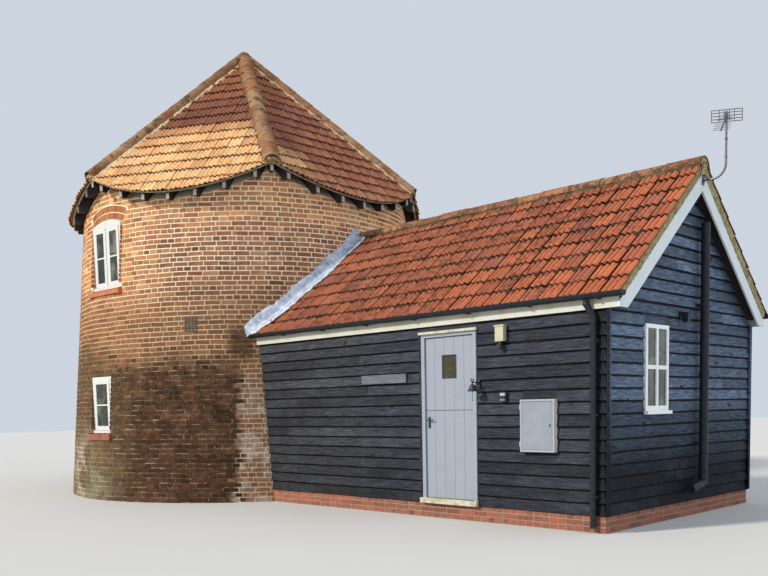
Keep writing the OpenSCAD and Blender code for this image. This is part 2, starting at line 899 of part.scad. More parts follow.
// One leaf, with a groove on both faces at each joint between its boards
module door_leaf(z0, z1) {
    count = round((leaf_x1 - leaf_x0) / leaf_board_w);
    step = (leaf_x1 - leaf_x0) / count;
    difference() {
        translate([leaf_x0, leaf_y, z0])
            cube([leaf_x1 - leaf_x0, leaf_t, z1 - z0]);
        for (i = [1:count - 1], y = [leaf_y, leaf_in_y])
            translate([leaf_x0 + i * step, y, z0 - 1])
                rotate([0, 0, 45])
                    translate([-groove, -groove, 0])
                        cube([2 * groove, 2 * groove, z1 - z0 + 2]);
    }
}

// Middle knuckle of a hinge with its plate, carried by the leaf
module leaf_knuckle(z) {
    difference() {
        union() {
            translate([hinge_x, hinge_y, z - 15])
                cylinder(h = 30, r = knuckle_r);
            translate([hinge_x - 60, leaf_in_y, z - 15])
                cube([60, 4, 30]);
            translate([hinge_x - knuckle_r, leaf_in_y, z - 15])
                cube([knuckle_r, hinge_y - leaf_in_y, 30]);
        }
        translate([hinge_x, hinge_y, z - 20])
            cylinder(h = 40, r = 4.3);
    }
}

hinge_heights = [door_bottom + 180, leaf_joint_h - 180, leaf_joint_h + 150, door_head_h - 190];

module door_lower_leaf() {
    color("white") {
        difference() {
            door_leaf(door_bottom + leaf_gap, leaf_joint_h - 3);
            spindle_hole();
        }
        for (i = [0, 1])
            leaf_knuckle(hinge_heights[i]);
    }
}

module door_upper_leaf() {
    color("white") {
        difference() {
            door_leaf(leaf_joint_h + 3, door_head_h - jamb_w - leaf_gap);
            translate([pane_x(), leaf_y - 1, pane_z])
                cube([pane_w, leaf_t + 2, pane_h]);
        }
        for (i = [2, 3])
            leaf_knuckle(hinge_heights[i]);
    }
}

function pane_x() = (leaf_x0 + leaf_x1) / 2 - pane_w / 2;

module door_pane() {
    color("lightgray")
        translate([pane_x(), leaf_y + leaf_t / 2 - 3, pane_z])
            cube([pane_w, 6, pane_h]);
}

// Hinge pins with the knuckles and plates that are fixed to the frame
module door_hinges() {
    color("silver")
        for (z = hinge_heights)
            union() {
                translate([hinge_x, hinge_y, z - 40])
                    cylinder(h = 80, r = 4);
                for (k = [-1, 1])
                    translate([0, 0, z + k * 27.8 - 12.5]) {
                        translate([hinge_x, hinge_y, 0])
                            cylinder(h = 25, r = knuckle_r);
                        translate([hinge_x, leaf_in_y, 0])
                            cube([knuckle_r, hinge_y - leaf_in_y, 25]);
                        translate([hinge_x + 3.5, leaf_in_y, 0])
                            cube([jamb_w - 6, 4, 25]);
                    }
            }
}

lever_x = leaf_x0 + 62;
lever_z = leaf_joint_h - lever_drop;

// Spindle hole through the leaf and its plates
module spindle_hole() {
    translate([lever_x, leaf_y - 50, lever_z])
        rotate([-90, 0, 0])
            cylinder(h = 150, r = 5.3);
}

module door_handle_plate() {
    color("black")
        difference() {
            for (y = [leaf_y - 5, leaf_in_y])
                translate([lever_x - 20, y, lever_z - 107])
                    cube([40, 5, 146]);
            spindle_hole();
        }
}

// Spindle with a lever on each side of the leaf
module door_lever() {
    color("dimgray")
        union() {
            translate([lever_x, leaf_y - 40, lever_z])
                rotate([-90, 0, 0])
                    cylinder(h = leaf_t + 80, r = 5);
            for (y = [leaf_y - 46, leaf_in_y + 5.3])
                translate([lever_x, y, lever_z])
                    rotate([-90, 0, 0])
                        cylinder(h = 40.7, r = 10);
            for (y = [leaf_y - 46, leaf_in_y + 34])
                translate([lever_x, y, lever_z - 7]) {
                    cube([88, 12, 14]);
                    translate([88, 6, 7])
                        sphere(r = 9);
                }
        }
}

meter_x = door_x1 + 690;
meter_z = 890;
meter_case_y = front_y - meter_proud;
meter_pin_x = meter_x - 10;
meter_pin_y = meter_case_y - 14;
meter_hinge_z = [meter_z + 90, meter_z + meter_h - 90];

module meter_box() {
    color("whitesmoke") {
        difference() {
            translate([meter_x, meter_case_y, meter_z])
                cube([meter_w, meter_d, meter_h]);
            translate([meter_x + 8, meter_case_y - 1, meter_z + 8])
                cube([meter_w - 16, meter_d - 7, meter_h - 16]);
        }
        for (z = meter_hinge_z)
            union() {
                translate([meter_pin_x, meter_pin_y, z - 32])
                    cylinder(h = 64, r = 3);
                for (k = [-1, 1])
                    translate([meter_pin_x, meter_pin_y, z + k * 22.8 - 7.5]) {
                        cylinder(h = 15, r = 7);
                        translate([-7, 0, 0])
                            cube([7, 30, 15]);
                        translate([-7, 18, 0])
                            cube([17, 12, 15]);
                    }
            }
    }
}

module meter_box_door() {
    rim = 22;
    color("white")
        difference() {
            union() {
                translate([meter_x, meter_case_y - 23, meter_z])
                    cube([meter_w, 18, meter_h]);
                for (z = meter_hinge_z) {
                    translate([meter_pin_x, meter_pin_y, z - 15])
                        cylinder(h = 30, r = 7);
                    translate([meter_pin_x, meter_pin_y - 5, z - 15])
                        cube([11, 10, 30]);
                }
                translate([meter_x + meter_w - 60, meter_case_y - 23, meter_z + meter_h * 0.49])
                    rotate([90, 0, 0])
                        cylinder(h = 4, r = 9);
            }
            difference() {
                translate([meter_x + rim, meter_case_y - 24, meter_z + rim])
                    cube([meter_w - 2 * rim, 5, meter_h - 2 * rim]);
                translate([meter_x + rim + 4, meter_case_y - 25, meter_z + rim + 4])
                    cube([meter_w - 2 * rim - 8, 7, meter_h - 2 * rim - 8]);
            }
            for (z = meter_hinge_z)
                translate([meter_pin_x, meter_pin_y, z - 20])
                    cylinder(h = 40, r = 3.3);
        }
}

// Lamp housing with a lid, and the movement sensor on an arm below it
module security_light() {
    color("beige")
        translate([gable_x - 1402, front_y, door_head_h - 165]) {
            translate([-62, -62, 0])
                cube([124, 62, 190]);
            translate([-72, -72, 176])
                cube([144, 72, 16]);
            translate([-14, -44, -40])
                cube([28, 30, 41]);
            translate([0, -24, -62])
                rotate([90, 0, 0])
                    cylinder(h = 48, r = 34);
            translate([0, -71, -62])
                rotate([90, 0, 0])
                    cylinder(h = 14, r1 = 24, r2 = 16);
        }
}

module key_box() {
    color("dimgray")
        translate([gable_x - 1412, front_y - 50, 1482]) {
            translate([0, 8, 0])
                cube([84, 42, 116]);
            translate([10, 0, 10])
                cube([64, 9, 30]);
            translate([10, 0, 50])
                cube([64, 9, 56]);
        }
}

module sign_plank() {
    color("lightslategray")
        translate([gable_x - 3815, front_y - 22, door_head_h - 600])
            cube([sign_l, 22, 118]);
}

bell_x = door_x1 + 42;
bell_z = door_head_h - 750;

// Wall plate with an arm, a scroll under it and a forked leaf over the bell
module bell_bracket() {
    arm_z = bell_z + bell_h + 16;
    color("dimgray")
        union() {
            translate([bell_x - 16, front_y - 8, arm_z - 88])
                cube([32, 8, 126]);
            translate([bell_x - 6, front_y - bell_out - 14, arm_z])
                cube([12, bell_out + 10, 12]);
            translate([bell_x - 3, front_y - 38, arm_z - 30])
                rotate([0, 90, 0])
                    difference() {
                        cylinder(h = 6, r = 34);
                        translate([0, 0, -1])
                            cylinder(h = 8, r = 28);
                    }
            for (a = [-32, 32])
                translate([bell_x, front_y - bell_out, arm_z + 6])
                    rotate([0, a, 0])
                        translate([-7, -3, 0])
                            cube([14, 6, 52]);
        }
}

// Flared bell with its clapper and the rod that it is rung by
module bell() {
    r = bell_r;
    h = bell_h;
    color("dimgray")
        translate([bell_x, front_y - bell_out, bell_z])
            union() {
                rotate_extrude()
                    polygon([
                        [r, 0], [r - 2, 6], [0.78 * r, 0.26 * h], [0.62 * r, 0.54 * h], [0.53 * r, 0.76 * h],
                        [0.36 * r, 0.93 * h], [9, h], [9, h + 16], [0, h + 16], [0, h - 12],
                        [0.30 * r, 0.84 * h], [0.44 * r, 0.70 * h], [0.53 * r, 0.50 * h], [0.68 * r, 0.24 * h],
                        [r - 8, 0]
                    ]);
                translate([0, 0, -bell_pull])
                    cylinder(h = bell_pull + h - 8, r = 2.5);
                translate([0, 0, 4])
                    sphere(r = 9);
                translate([0, 0, -bell_pull])
                    sphere(r = 6);
            }
}

// Bracket plate with a lantern body, its cap and its base
module gable_lamp() {
    color("black")
        translate([gable_x, front_y + 1722, wing_wall_h + 54]) {
            translate([0, -32, -90])
                cube([14, 64, 100]);
            translate([13, -14, -22])
                cube([42, 28, 18]);
            translate([34, -44, -26])
                cube([88, 88, 14]);
            translate([40, -38, -118])
                cube([76, 76, 93]);
            translate([46, -32, -130])
                cube([64, 64, 13]);
        }
}

// Vent pipe with collars, brackets and a knuckle bend at its foot
module soil_pipe() {
    y = wing_mid_y + 5 * soil_pipe_r;
    top = wing_apex_h - 705;
    x = gable_x + 90;
    color("black")
        union() {
            pipe([x, y, top], [x, y, 415], soil_pipe_r);
            pipe([x, y, 415], [x, y - 330, 355], soil_pipe_r, 0);
            for (z = [plinth_h + 290, wing_wall_h - 728])
                translate([x, y, z])
                    cylinder(h = 70, r = soil_pipe_r + 7);
            for (z = [wing_wall_h - 1578, top - 1020])
                translate([gable_x, y - 70, z])
                    cube([90, 140, 30]);
        }
}

// Clamp on the bargeboards and a tube that bends up to carry the aerial
module aerial_mast() {
    x = barge_x + aerial_out;
    z = barge_top - 96;
    plate_top = barge_top - 30 * wing_slope - 4;
    color("gray")
        union() {
            translate([barge_x, wing_mid_y - 30, plate_top - 120])
                cube([6, 60, 120]);
            for (dz = [-34, 22])
                translate([barge_x + 5, wing_mid_y - 22, z + dz])
                    cube([14, 44, 12]);
            translate([barge_x + 3, wing_mid_y, z])
                rotate([0, 90, 0])
                    cylinder(h = aerial_out - aerial_bend - 3, r = 13);
            translate([x - aerial_bend, wing_mid_y, z + aerial_bend])
                rotate([90, 0, 0])
                    rotate([0, 0, -90])
                        rotate_extrude(angle = 90)
                            translate([aerial_bend, 0])
                                circle(r = 13);
            translate([x, wing_mid_y, z + aerial_bend])
                cylinder(h = aerial_h - aerial_bend, r = 13);
            for (h = [210, 420])
                translate([x, wing_mid_y, z + h])
                    cylinder(h = 26, r = 17);
        }
}

// Mast clamp, boom with seven cross elements and a barred reflector behind
module aerial_head() {
    x = barge_x + aerial_out;
    z = barge_top - 96 + aerial_h;
    w = reflector_w;
    color("lightgray")
        difference() {
            translate([x, wing_mid_y, z])
                rotate([0, 0, aerial_turn])
                    union() {
                        translate([-20, -24, -78])
                            cube([40, 45, 60]);
                        translate([-8, -boom_l, -62])
                            cube([16, boom_l, 16]);
                        for (i = [0:6])
                            translate([-100 + i * 3, -boom_l + 15 + i * (boom_l - 90) / 6, -52])
                                cube([200 - i * 6, 7, 5]);
                        for (h = [-128, -96, -60, -24, 8])
                            translate([-w / 2, 20, h])
                                cube([w, 5, 9]);
                        for (t = [-w / 2, -w / 4, -34, 26, w / 4 - 8, w / 2 - 8])
                            translate([t, 20, -128])
                                cube([8, 5, 145]);
                    }
            translate([x, wing_mid_y, z - 370])
                cylinder(h = 600, r = 13.3);
        }
}

tower_wall_front();
tower_wall_front_right();
tower_wall_inner();
tower_wall_back_right();
tower_wall_back();
tower_wall_back_left();
tower_wall_left();
tower_wall_front_left();
tower_ground_floor();
tower_upper_floor();
tower_roof_1();
tower_roof_2();
tower_roof_3();
tower_roof_4();
tower_roof_5();
tower_roof_6();
tower_rafters();
tower_hip_tiles();
tower_upper_window();
tower_lower_window();
tower_window_glass();
tower_window_sills();
tower_vent_plate();
wing_plinth();
wing_floor();
front_wall_left();
front_wall_right();
front_wall_over_door();
gable_wall();
back_wall();
wing_roof_front();
wing_roof_back();
wing_ridge_tiles();
roof_flashing();
bargeboards();
fascias();
gutters();
downpipes();
corner_boards();
gable_window();
gable_window_glass();
door_frame();
door_lower_leaf();
door_upper_leaf();
door_pane();
door_hinges();
door_handle_plate();
door_lever();
meter_box();
meter_box_door();
security_light();
key_box();
sign_plank();
bell_bracket();
bell();
gable_lamp();
soil_pipe();
aerial_mast();
aerial_head();
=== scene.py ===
from math import asin, atan, atan2, ceil, copysign, cos, exp, pi, radians, sin, tan, tau

import bpy
import numpy as np
from mathutils import Matrix, Vector


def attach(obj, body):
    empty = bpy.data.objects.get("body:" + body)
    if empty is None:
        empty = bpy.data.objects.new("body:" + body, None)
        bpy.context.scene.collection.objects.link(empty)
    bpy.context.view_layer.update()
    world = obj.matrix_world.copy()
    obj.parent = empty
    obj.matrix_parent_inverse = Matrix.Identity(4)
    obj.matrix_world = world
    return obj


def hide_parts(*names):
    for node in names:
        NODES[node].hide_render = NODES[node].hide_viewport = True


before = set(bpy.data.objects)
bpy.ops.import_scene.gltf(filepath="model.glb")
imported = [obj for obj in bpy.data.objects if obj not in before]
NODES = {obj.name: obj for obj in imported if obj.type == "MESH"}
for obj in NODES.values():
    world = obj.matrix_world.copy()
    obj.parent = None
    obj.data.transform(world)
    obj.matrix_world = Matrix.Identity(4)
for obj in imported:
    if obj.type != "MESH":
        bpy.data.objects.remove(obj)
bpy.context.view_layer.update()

RNG = np.random.default_rng(41)
PLAIN = (0.5, 0.5, 0.5)

# Sizes in metres, as in the CAD model
BASE_R = 3.410
BATTER = 0.085
PITCH = radians(44.7)
ROOF_C, ROOF_S, SLOPE = cos(PITCH), sin(PITCH), tan(PITCH)
HIP_FALL = atan(SLOPE * cos(pi / 6))
WALL_TOP = 4.810
RAFTER_DROP = 0.188 / ROOF_C
APEX = WALL_TOP + RAFTER_DROP + (BASE_R - BATTER * WALL_TOP) * SLOPE
EAVE_R = 3.225
FILLET_R = EAVE_R - 0.045
TILE_RISE = 0.055 / ROOF_C
HIP_R = 0.130
HIP_SINK = 0.068
HIP_GAUGE = 0.420
WIN_AZ = radians(-88)
GABLE_X = 8.780
WING_W = 3.860
HALF_W = WING_W / 2
MID_Y = 0.080
FRONT_Y, BACK_Y = MID_Y - HALF_W, MID_Y + HALF_W
WALL_T = 0.180
IN_F, IN_B = FRONT_Y + WALL_T, BACK_Y - WALL_T
WING_PITCH = radians(40.4)
WING_C, WING_S, WSLOPE = cos(WING_PITCH), sin(WING_PITCH), tan(WING_PITCH)
WALL_H = 2.478
WAPEX = WALL_H + 0.175 / WING_C + HALF_W * WSLOPE
TILE_BED = WAPEX - 0.045 / WING_C
EAVE_OUT = 0.075
PLINTH_H = 0.200
BARGE_X = GABLE_X + 0.170
VERGE_X = BARGE_X + 0.030
BED_H = 0.105
RIDGE_R = 0.125
RIDGE_L = 0.450
RIDGE_Z = WAPEX - 0.090
DOOR_X0, DOOR_X1 = 6.075, 6.980
HEAD_H = WALL_H - 0.113
METER = (DOOR_X1 + 0.690, DOOR_X1 + 1.160, 0.890, 1.500)
GWIN = (FRONT_Y + 0.850, FRONT_Y + 1.415, 1.340, 2.350)
# width, sill height, height of the sides and rise of the arch
UP_WIN = (0.880, 3.500, 1.060, 0.075)
LO_WIN = (0.600, 1.105, 0.940, 0.0)
UP_SILL, LO_SILL = 0.105, 0.115


def tower_r(z):
    return BASE_R - BATTER * z


def wing_under(y):
    """Height of the wing roof's underside over a point across the wing."""
    return WALL_H + (HALF_W - np.abs(y - MID_Y)) * WSLOPE


def cone_x(y, z, off=0.0):
    """X where the tower's face, or a face that far outside it, meets a line along the wing."""
    return np.sqrt(np.maximum((tower_r(z) + off) ** 2 - y * y, 0.01))


def scribed_x(y, z):
    """Where a wall of the wing is cut to fit the tower."""
    return float(cone_x(y, z)) - 0.004


def xyz(x, y, z):
    return np.stack(np.broadcast_arrays(x, y, z), axis=-1)


def jitter(size, count=None):
    return RNG.normal(0, size, count)


def rand3():
    return (RNG.random(), RNG.random(), 0.5)


def new_object(name, data):
    ob = bpy.data.objects.new(name, data)
    bpy.context.scene.collection.objects.link(ob)
    return ob


def dress(name, material):
    """Give a CAD node its material."""
    NODES[name].data.materials.clear()
    NODES[name].data.materials.append(material)


# Mesh making
class Build:
    """Collects faces, each with a material number and three numbers that its material reads."""

    def __init__(self):
        self.verts, self.loops, self.sizes, self.tints, self.mats, self.smooth = [], [], [], [], [], []
        self.count = 0

    def add(self, verts, faces, tint=PLAIN, mat=0, smooth=False):
        """tint is one triple, or one triple for each face."""
        verts = np.asarray(verts, float).reshape(-1, 3)
        self.verts.append(verts)
        for face in faces:
            self.loops.extend(i + self.count for i in face)
            self.sizes.append(len(face))
        self.tints.append(np.broadcast_to(np.asarray(tint, float), (len(faces), 3)))
        self.mats += [mat] * len(faces)
        self.smooth += [smooth] * len(faces)
        self.count += len(verts)

    def many(self, verts, quads, tints):
        """Copies of one small mesh of quads: verts is (copies, points, 3) and tints is (copies, 3)."""
        k, p = verts.shape[:2]
        ids = np.asarray(quads)[None] + (np.arange(k) * p)[:, None, None]
        self.add(verts, ids.reshape(-1, 4).tolist(), np.repeat(tints, len(quads), axis=0))

    def hexa(self, c, tint=PLAIN, mat=0):
        """Eight corners, in the order x fastest, then y, then z."""
        faces = [(0, 2, 3, 1), (4, 5, 7, 6), (0, 1, 5, 4), (2, 6, 7, 3), (0, 4, 6, 2), (1, 3, 7, 5)]
        self.add(c, faces, tint, mat)

    def grid(self, pts, tint=PLAIN, mat=0, smooth=True, close=False, flip=False):
        """A sheet through rows of points."""
        pts = np.asarray(pts, float)
        if flip:
            pts = pts[:, ::-1]
        r, c = pts.shape[:2]
        quads = []
        for i in range(r - 1):
            for j in range(c if close else c - 1):
                a, b = i * c + j, i * c + (j + 1) % c
                quads.append((a, b, b + c, a + c))
        self.add(pts, quads, np.asarray(tint, float).reshape(-1, 3), mat, smooth)

    def make(self, name, mats, slot, replaces=()):
        """The finished piece, which rides the root body."""
        me = bpy.data.meshes.new(name)
        me.vertices.add(self.count)
        me.vertices.foreach_set("co", np.concatenate(self.verts).astype(np.float32).ravel())
        me.loops.add(len(self.loops))
        me.loops.foreach_set("vertex_index", np.array(self.loops, np.int32))
        sizes = np.array(self.sizes, np.int32)
        me.polygons.add(len(sizes))
        for m in mats:
            me.materials.append(m)
        me.polygons.foreach_set("loop_start", np.cumsum(sizes) - sizes)
        me.polygons.foreach_set("loop_total", sizes)
        me.polygons.foreach_set("material_index", np.array(self.mats, np.int32))
        me.polygons.foreach_set("use_smooth", np.array(self.smooth, bool))
        tint = me.attributes.new("tint", "FLOAT_VECTOR", "FACE")
        tint.data.foreach_set("vector", np.concatenate(self.tints).astype(np.float32).ravel())
        me.update(calc_edges=True)
        me.validate()
        ob = new_object(name, me)
        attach(ob, "root")
        if replaces:
            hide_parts(*replaces)


# Material making
class Value:
    """A number that shader nodes work out."""

    def __init__(self, tree, sock):
        self.tree = tree
        self.sock = sock

    def __add__(self, b):
        return self.tree.math("ADD", self, b)

    def __sub__(self, b):
        return self.tree.math("SUBTRACT", self, b)

    def __rsub__(self, b):
        return self.tree.math("SUBTRACT", b, self)

    def __mul__(self, b):
        return self.tree.math("MULTIPLY", self, b)

    def __abs__(self):
        return self.tree.math("ABSOLUTE", self)

    def least(self, b):
        return self.tree.math("MINIMUM", self, b)

    def most(self, b):
        return self.tree.math("MAXIMUM", self, b)

    def step(self, lo, hi, a=0.0, b=1.0, kind="SMOOTHSTEP"):
        """A change from a at lo to b at hi."""
        ins = {"Value": self, "From Min": lo, "From Max": hi, "To Min": a, "To Max": b}
        node = self.tree.node("ShaderNodeMapRange", ins, interpolation_type=kind)
        return Value(self.tree, node.outputs[0])


class Tree:
    """Short forms for making shader nodes."""

    def __init__(self, nt):
        self.nt = nt

    def put(self, sock, val):
        """Link a value or an output to an input, or set the input to numbers."""
        if isinstance(val, Value):
            val = val.sock
        if hasattr(val, "is_linked"):
            self.nt.links.new(val, sock)
        elif isinstance(val, tuple) and len(val) == 3 and sock.type == "RGBA":
            sock.default_value = (*val, 1)
        else:
            sock.default_value = val

    def node(self, kind, ins, **attrs):
        nd = self.nt.nodes.new(kind)
        for k, v in attrs.items():
            setattr(nd, k, v)
        for k, v in ins.items():
            self.put(nd.inputs[k], v)
        return nd

    def parts(self, vector):
        return [Value(self, sock) for sock in self.node("ShaderNodeSeparateXYZ", {0: vector}).outputs]

    def math(self, op, a, b=0.0, clamp=False):
        node = self.node("ShaderNodeMath", {0: a, 1: b}, operation=op, use_clamp=clamp)
        return Value(self, node.outputs[0])

    def dot(self, a, b):
        """How far vector a runs along vector b."""
        node = self.node("ShaderNodeVectorMath", {0: a, 1: b}, operation="DOT_PRODUCT")
        return Value(self, node.outputs["Value"])


class Mat(Tree):
    """A Principled material. col is its colour so far; pick, light and third are a face's own numbers."""

    def __init__(self, name):
        self.m = bpy.data.materials.new(name)
        self.m.use_nodes = True
        super().__init__(self.m.node_tree)
        self.nt.nodes.clear()
        self.bsdf = self.node("ShaderNodeBsdfPrincipled", {})
        self.node("ShaderNodeOutputMaterial", {0: self.bsdf.outputs[0]})
        self.pos = self.node("ShaderNodeTexCoord", {}).outputs["Object"]
        self.x, self.y, self.z = self.parts(self.pos)
        tint = self.node("ShaderNodeAttribute", {}, attribute_name="tint")
        self.pick, self.light, self.third = self.parts(tint.outputs["Vector"])
        self.col = None

    def noise(self, scale, detail, rough, stretch=None, dist=0.0):
        vec = self.pos
        if stretch:
            vec = self.node("ShaderNodeMapping", {"Vector": vec, "Scale": stretch}).outputs[0]
        ins = {"Vector": vec, "Scale": scale, "Detail": detail, "Roughness": rough, "Distortion": dist}
        return Value(self, self.node("ShaderNodeTexNoise", ins).outputs["Fac"])

    def ramp(self, fac, *stops):
        nd = self.node("ShaderNodeValToRGB", {0: fac})
        marks = nd.color_ramp.elements
        while len(marks) < len(stops):
            marks.new(0.5)
        for mark, (p, c) in zip(marks, stops):
            mark.position = p
            mark.color = (*c, 1)
        return nd.outputs[0]

    def shades(self, *colours):
        """A pick from colours evenly spaced on a ramp."""
        return self.ramp(self.pick, *[(i / (len(colours) - 1), c) for i, c in enumerate(colours)])

    def mix(self, fac, a, b, mode="MIX"):
        ins = {0: fac, 6: a, 7: b}
        return self.node("ShaderNodeMix", ins, data_type="RGBA", blend_type=mode).outputs[2]

    def gain(self, colour, amount):
        """Colour times a number."""
        grey = self.node("ShaderNodeCombineColor", {0: amount, 1: amount, 2: amount}).outputs[0]
        return self.mix(1.0, colour, grey, "MULTIPLY")

    def over(self, amount, colour):
        self.col = self.mix(amount, self.col, colour)

    def spots(self, scale, detail, rough, lo, hi, most, colour):
        """A colour laid over where a noise is high."""
        self.over(self.noise(scale, detail, rough).step(lo, hi, 0, most), colour)

    def bump(self, *layers):
        """layers: (height or the three numbers of a noise, strength, distance in metres), the last on top."""
        under = {}
        for h, s, d in layers:
            h = self.noise(*h) if isinstance(h, tuple) else h
            out = self.node("ShaderNodeBump", {"Height": h, "Strength": s, "Distance": d, **under}).outputs[0]
            under = {"Normal": out}
        self.put(self.bsdf.inputs["Normal"], out)

    def done(self, rough, shine=0.5, metal=0.0):
        values = {"Base Color": self.col, "Roughness": rough, "Specular IOR Level": shine, "Metallic": metal}
        for key, value in values.items():
            self.put(self.bsdf.inputs[key], value)
        return self.m


def az_of(M):
    """Direction from the tower's axis, in radians."""
    return M.math("ARCTAN2", M.y, M.x)


def tower_places(M, pick=0.5):
    """Where the tower's face is stained, hazed with lime or green, in a painted purple tree shadow, or in its
    upper part, where the bricks are painted sunlit and the mortar is paler, each 0 to 1.
    """
    az = az_of(M)
    own = pick - 0.5
    edge = M.z + (M.noise(0.8, 6, 0.62) - 0.5) * 1.5 + own * 0.40
    low = edge.step(2.72, 2.12)
    front = az.step(-1.80, -1.25)
    leaning = az - M.z * 0.0145 + (M.noise(4.0, 6, 0.7) - 0.5) * 0.09 + own * 0.075
    by_wing = leaning.step(-0.758, -0.715) * az.step(-0.30, -0.40)
    gutter_end = az.step(-0.80, -0.73) * az.step(-0.62, -0.66) * M.z.step(2.1, 2.4) * M.z.step(2.9, 2.6)
    spots = M.noise(3.1, 6, 0.68)
    stain = low * (front * 0.16 + 0.84) * (1 - by_wing * 0.94)
    stain = (stain * spots.step(0.30, 0.50, 0.72, 1.0)).most(gutter_end * 0.9)
    haze = (by_wing * M.z.step(2.3, 1.2)).most((1 - front) * M.z.step(1.5, 0.5)) * spots.step(0.40, 0.60)
    green = az.step(-1.35, -1.60) * M.z.step(1.6, 0.3) * M.noise(2.0, 5, 0.6).step(0.42, 0.60)
    # a purple band across the tower's front: painted tree shadow
    purple_and_tree_shadow = az.step(-1.45, -0.95) * edge.step(4.70, 4.10) * 0.70
    return stain, haze, green, purple_and_tree_shadow, edge.step(2.9, 3.9)


def mat_brick():
    M = Mat("brick_face")
    warm = M.shades((0.36, 0.125, 0.045), (0.47, 0.195, 0.074), (0.32, 0.100, 0.040), (0.52, 0.24, 0.098),
                    (0.26, 0.078, 0.038), (0.42, 0.175, 0.074), (0.18, 0.064, 0.042), (0.38, 0.140, 0.052))
    # darker purple shades for the bricks in the painted tree shadow
    tree_shaded = M.shades((0.155, 0.058, 0.037), (0.21, 0.092, 0.054), (0.125, 0.046, 0.034), (0.25, 0.120, 0.070),
                    (0.085, 0.038, 0.031), (0.18, 0.076, 0.050), (0.065, 0.035, 0.031), (0.165, 0.066, 0.043))
    stain, haze, green, purple_and_tree_shadow, bright = tower_places(M, M.pick)
    col = M.gain(M.mix(purple_and_tree_shadow, warm, tree_shaded), M.light.step(0, 1, 0.80, 1.20))
    # over the upper part the bricks are lightened and yellowed: painted sunlight, kept out of the painted
    # tree shadow; below it they are mixed darker
    sunlit = M.mix(1.0, col, (1.50, 1.62, 1.45), "MULTIPLY")
    sunlit = M.mix(purple_and_tree_shadow * 0.75, sunlit, col)
    M.col = M.mix(bright, M.mix(0.46, col, (0.155, 0.072, 0.026)), sunlit)
    # pale cream patches over the upper part: painted dapples of sunlight
    M.over(bright * M.noise(4.5, 5, 0.7).step(0.46, 0.64, 0, 0.42) * (1 - purple_and_tree_shadow * 0.6), (0.58, 0.43, 0.22))
    # the third number darkens the arch bricks, as their own darker red and as painted shade, and the reveals'
    # bricks half as much
    M.over(M.third * 0.55, (0.24, 0.062, 0.028))
    M.spots(38, 5, 0.65, 0.45, 0.74, 0.24, (0.56, 0.30, 0.14))
    M.spots(60, 3, 0.6, 0.60, 0.75, 0.50, (0.12, 0.055, 0.040))
    soot = M.ramp(M.noise(8.0, 6, 0.78), (0.36, (0.014, 0.009, 0.005)), (0.47, (0.044, 0.021, 0.009)),
                  (0.56, (0.105, 0.038, 0.014)), (0.68, (0.070, 0.043, 0.017)))
    soot = M.gain(soot, M.z.step(1.9, 0.6, 1.0, 0.64))
    soot = M.mix(M.z.step(1.7, 0.5, 0, 0.30), soot, (0.080, 0.024, 0.012))
    soot = M.mix(az_of(M).step(-1.20, -1.50), soot, (0.085, 0.052, 0.022))
    M.over(stain * 0.94, M.gain(soot, M.pick.step(0, 1, 0.55, 1.45)))
    M.over(stain * M.noise(24, 4, 0.75).step(0.66, 0.72) * 0.55, (0.42, 0.34, 0.26))
    M.over(haze * 0.50, (0.54, 0.46, 0.39))
    M.over(green * 0.45, (0.13, 0.135, 0.055))
    M.bump(((55, 6, 0.7), 0.55, 0.006), ((240, 3, 0.6), 0.35, 0.002))
    return M.done(0.90, 0.22)


def mat_mortar():
    M = Mat("lime_mortar")
    stain, haze, green, purple_and_tree_shadow, bright = tower_places(M)
    M.col = M.ramp(M.noise(30, 5, 0.7), (0.25, (0.72, 0.57, 0.37)), (0.5, (0.93, 0.78, 0.54)),
                   (0.8, (0.96, 0.87, 0.68)))
    # mortar in the painted tree shadow takes a pinker tone
    M.over(purple_and_tree_shadow * 0.70, (0.92, 0.74, 0.59))
    M.over((1 - bright) * 0.72, (0.44, 0.31, 0.155))
    streaks = M.noise(9, 6, 0.75, (0.5, 0.5, 3.0))
    dirty = M.ramp(streaks, (0.36, (0.020, 0.013, 0.007)), (0.53, (0.070, 0.047, 0.024)),
                   (0.64, (0.36, 0.28, 0.18)))
    M.over(stain * 0.96, dirty)
    M.over(haze * 0.75, (0.74, 0.68, 0.56))
    M.over(green * 0.60, (0.16, 0.17, 0.07))
    M.bump(((90, 5, 0.7), 0.7, 0.004))
    return M.done(0.95, 0.15)


def mat_hex_tile():
    M = Mat("tower_tile")
    buff = M.shades((0.86, 0.50, 0.210), (0.92, 0.59, 0.280), (0.80, 0.42, 0.175), (0.95, 0.62, 0.31),
                    (0.84, 0.46, 0.19))
    red = M.shades((0.52, 0.175, 0.068), (0.58, 0.215, 0.085), (0.46, 0.145, 0.062), (0.55, 0.19, 0.075))
    # the purple shades also paint the tree shadow's band on slope 5
    purple_and_tree_shadow = M.shades((0.33, 0.110, 0.062), (0.39, 0.138, 0.076), (0.27, 0.086, 0.056), (0.42, 0.143, 0.072))
    buff = M.mix((M.z + M.noise(1.1, 5, 0.6) * 1.2).step(6.3, 7.7), buff, red)
    zone = M.math("ADD", M.third, (M.noise(1.3, 5, 0.6) - 0.5) * 0.45, clamp=True)
    M.col = M.mix(zone, buff, purple_and_tree_shadow)
    M.spots(22, 5, 0.7, 0.48, 0.72, 0.35, (0.58, 0.42, 0.24))
    M.spots(4, 6, 0.72, 0.50, 0.68, 0.55, (0.50, 0.175, 0.065))
    M.spots(15, 5, 0.75, 0.60, 0.72, 0.55, (0.075, 0.050, 0.035))
    M.col = M.gain(M.col, M.light)
    M.bump(((70, 5, 0.7), 0.45, 0.004))
    return M.done(0.84, 0.28)


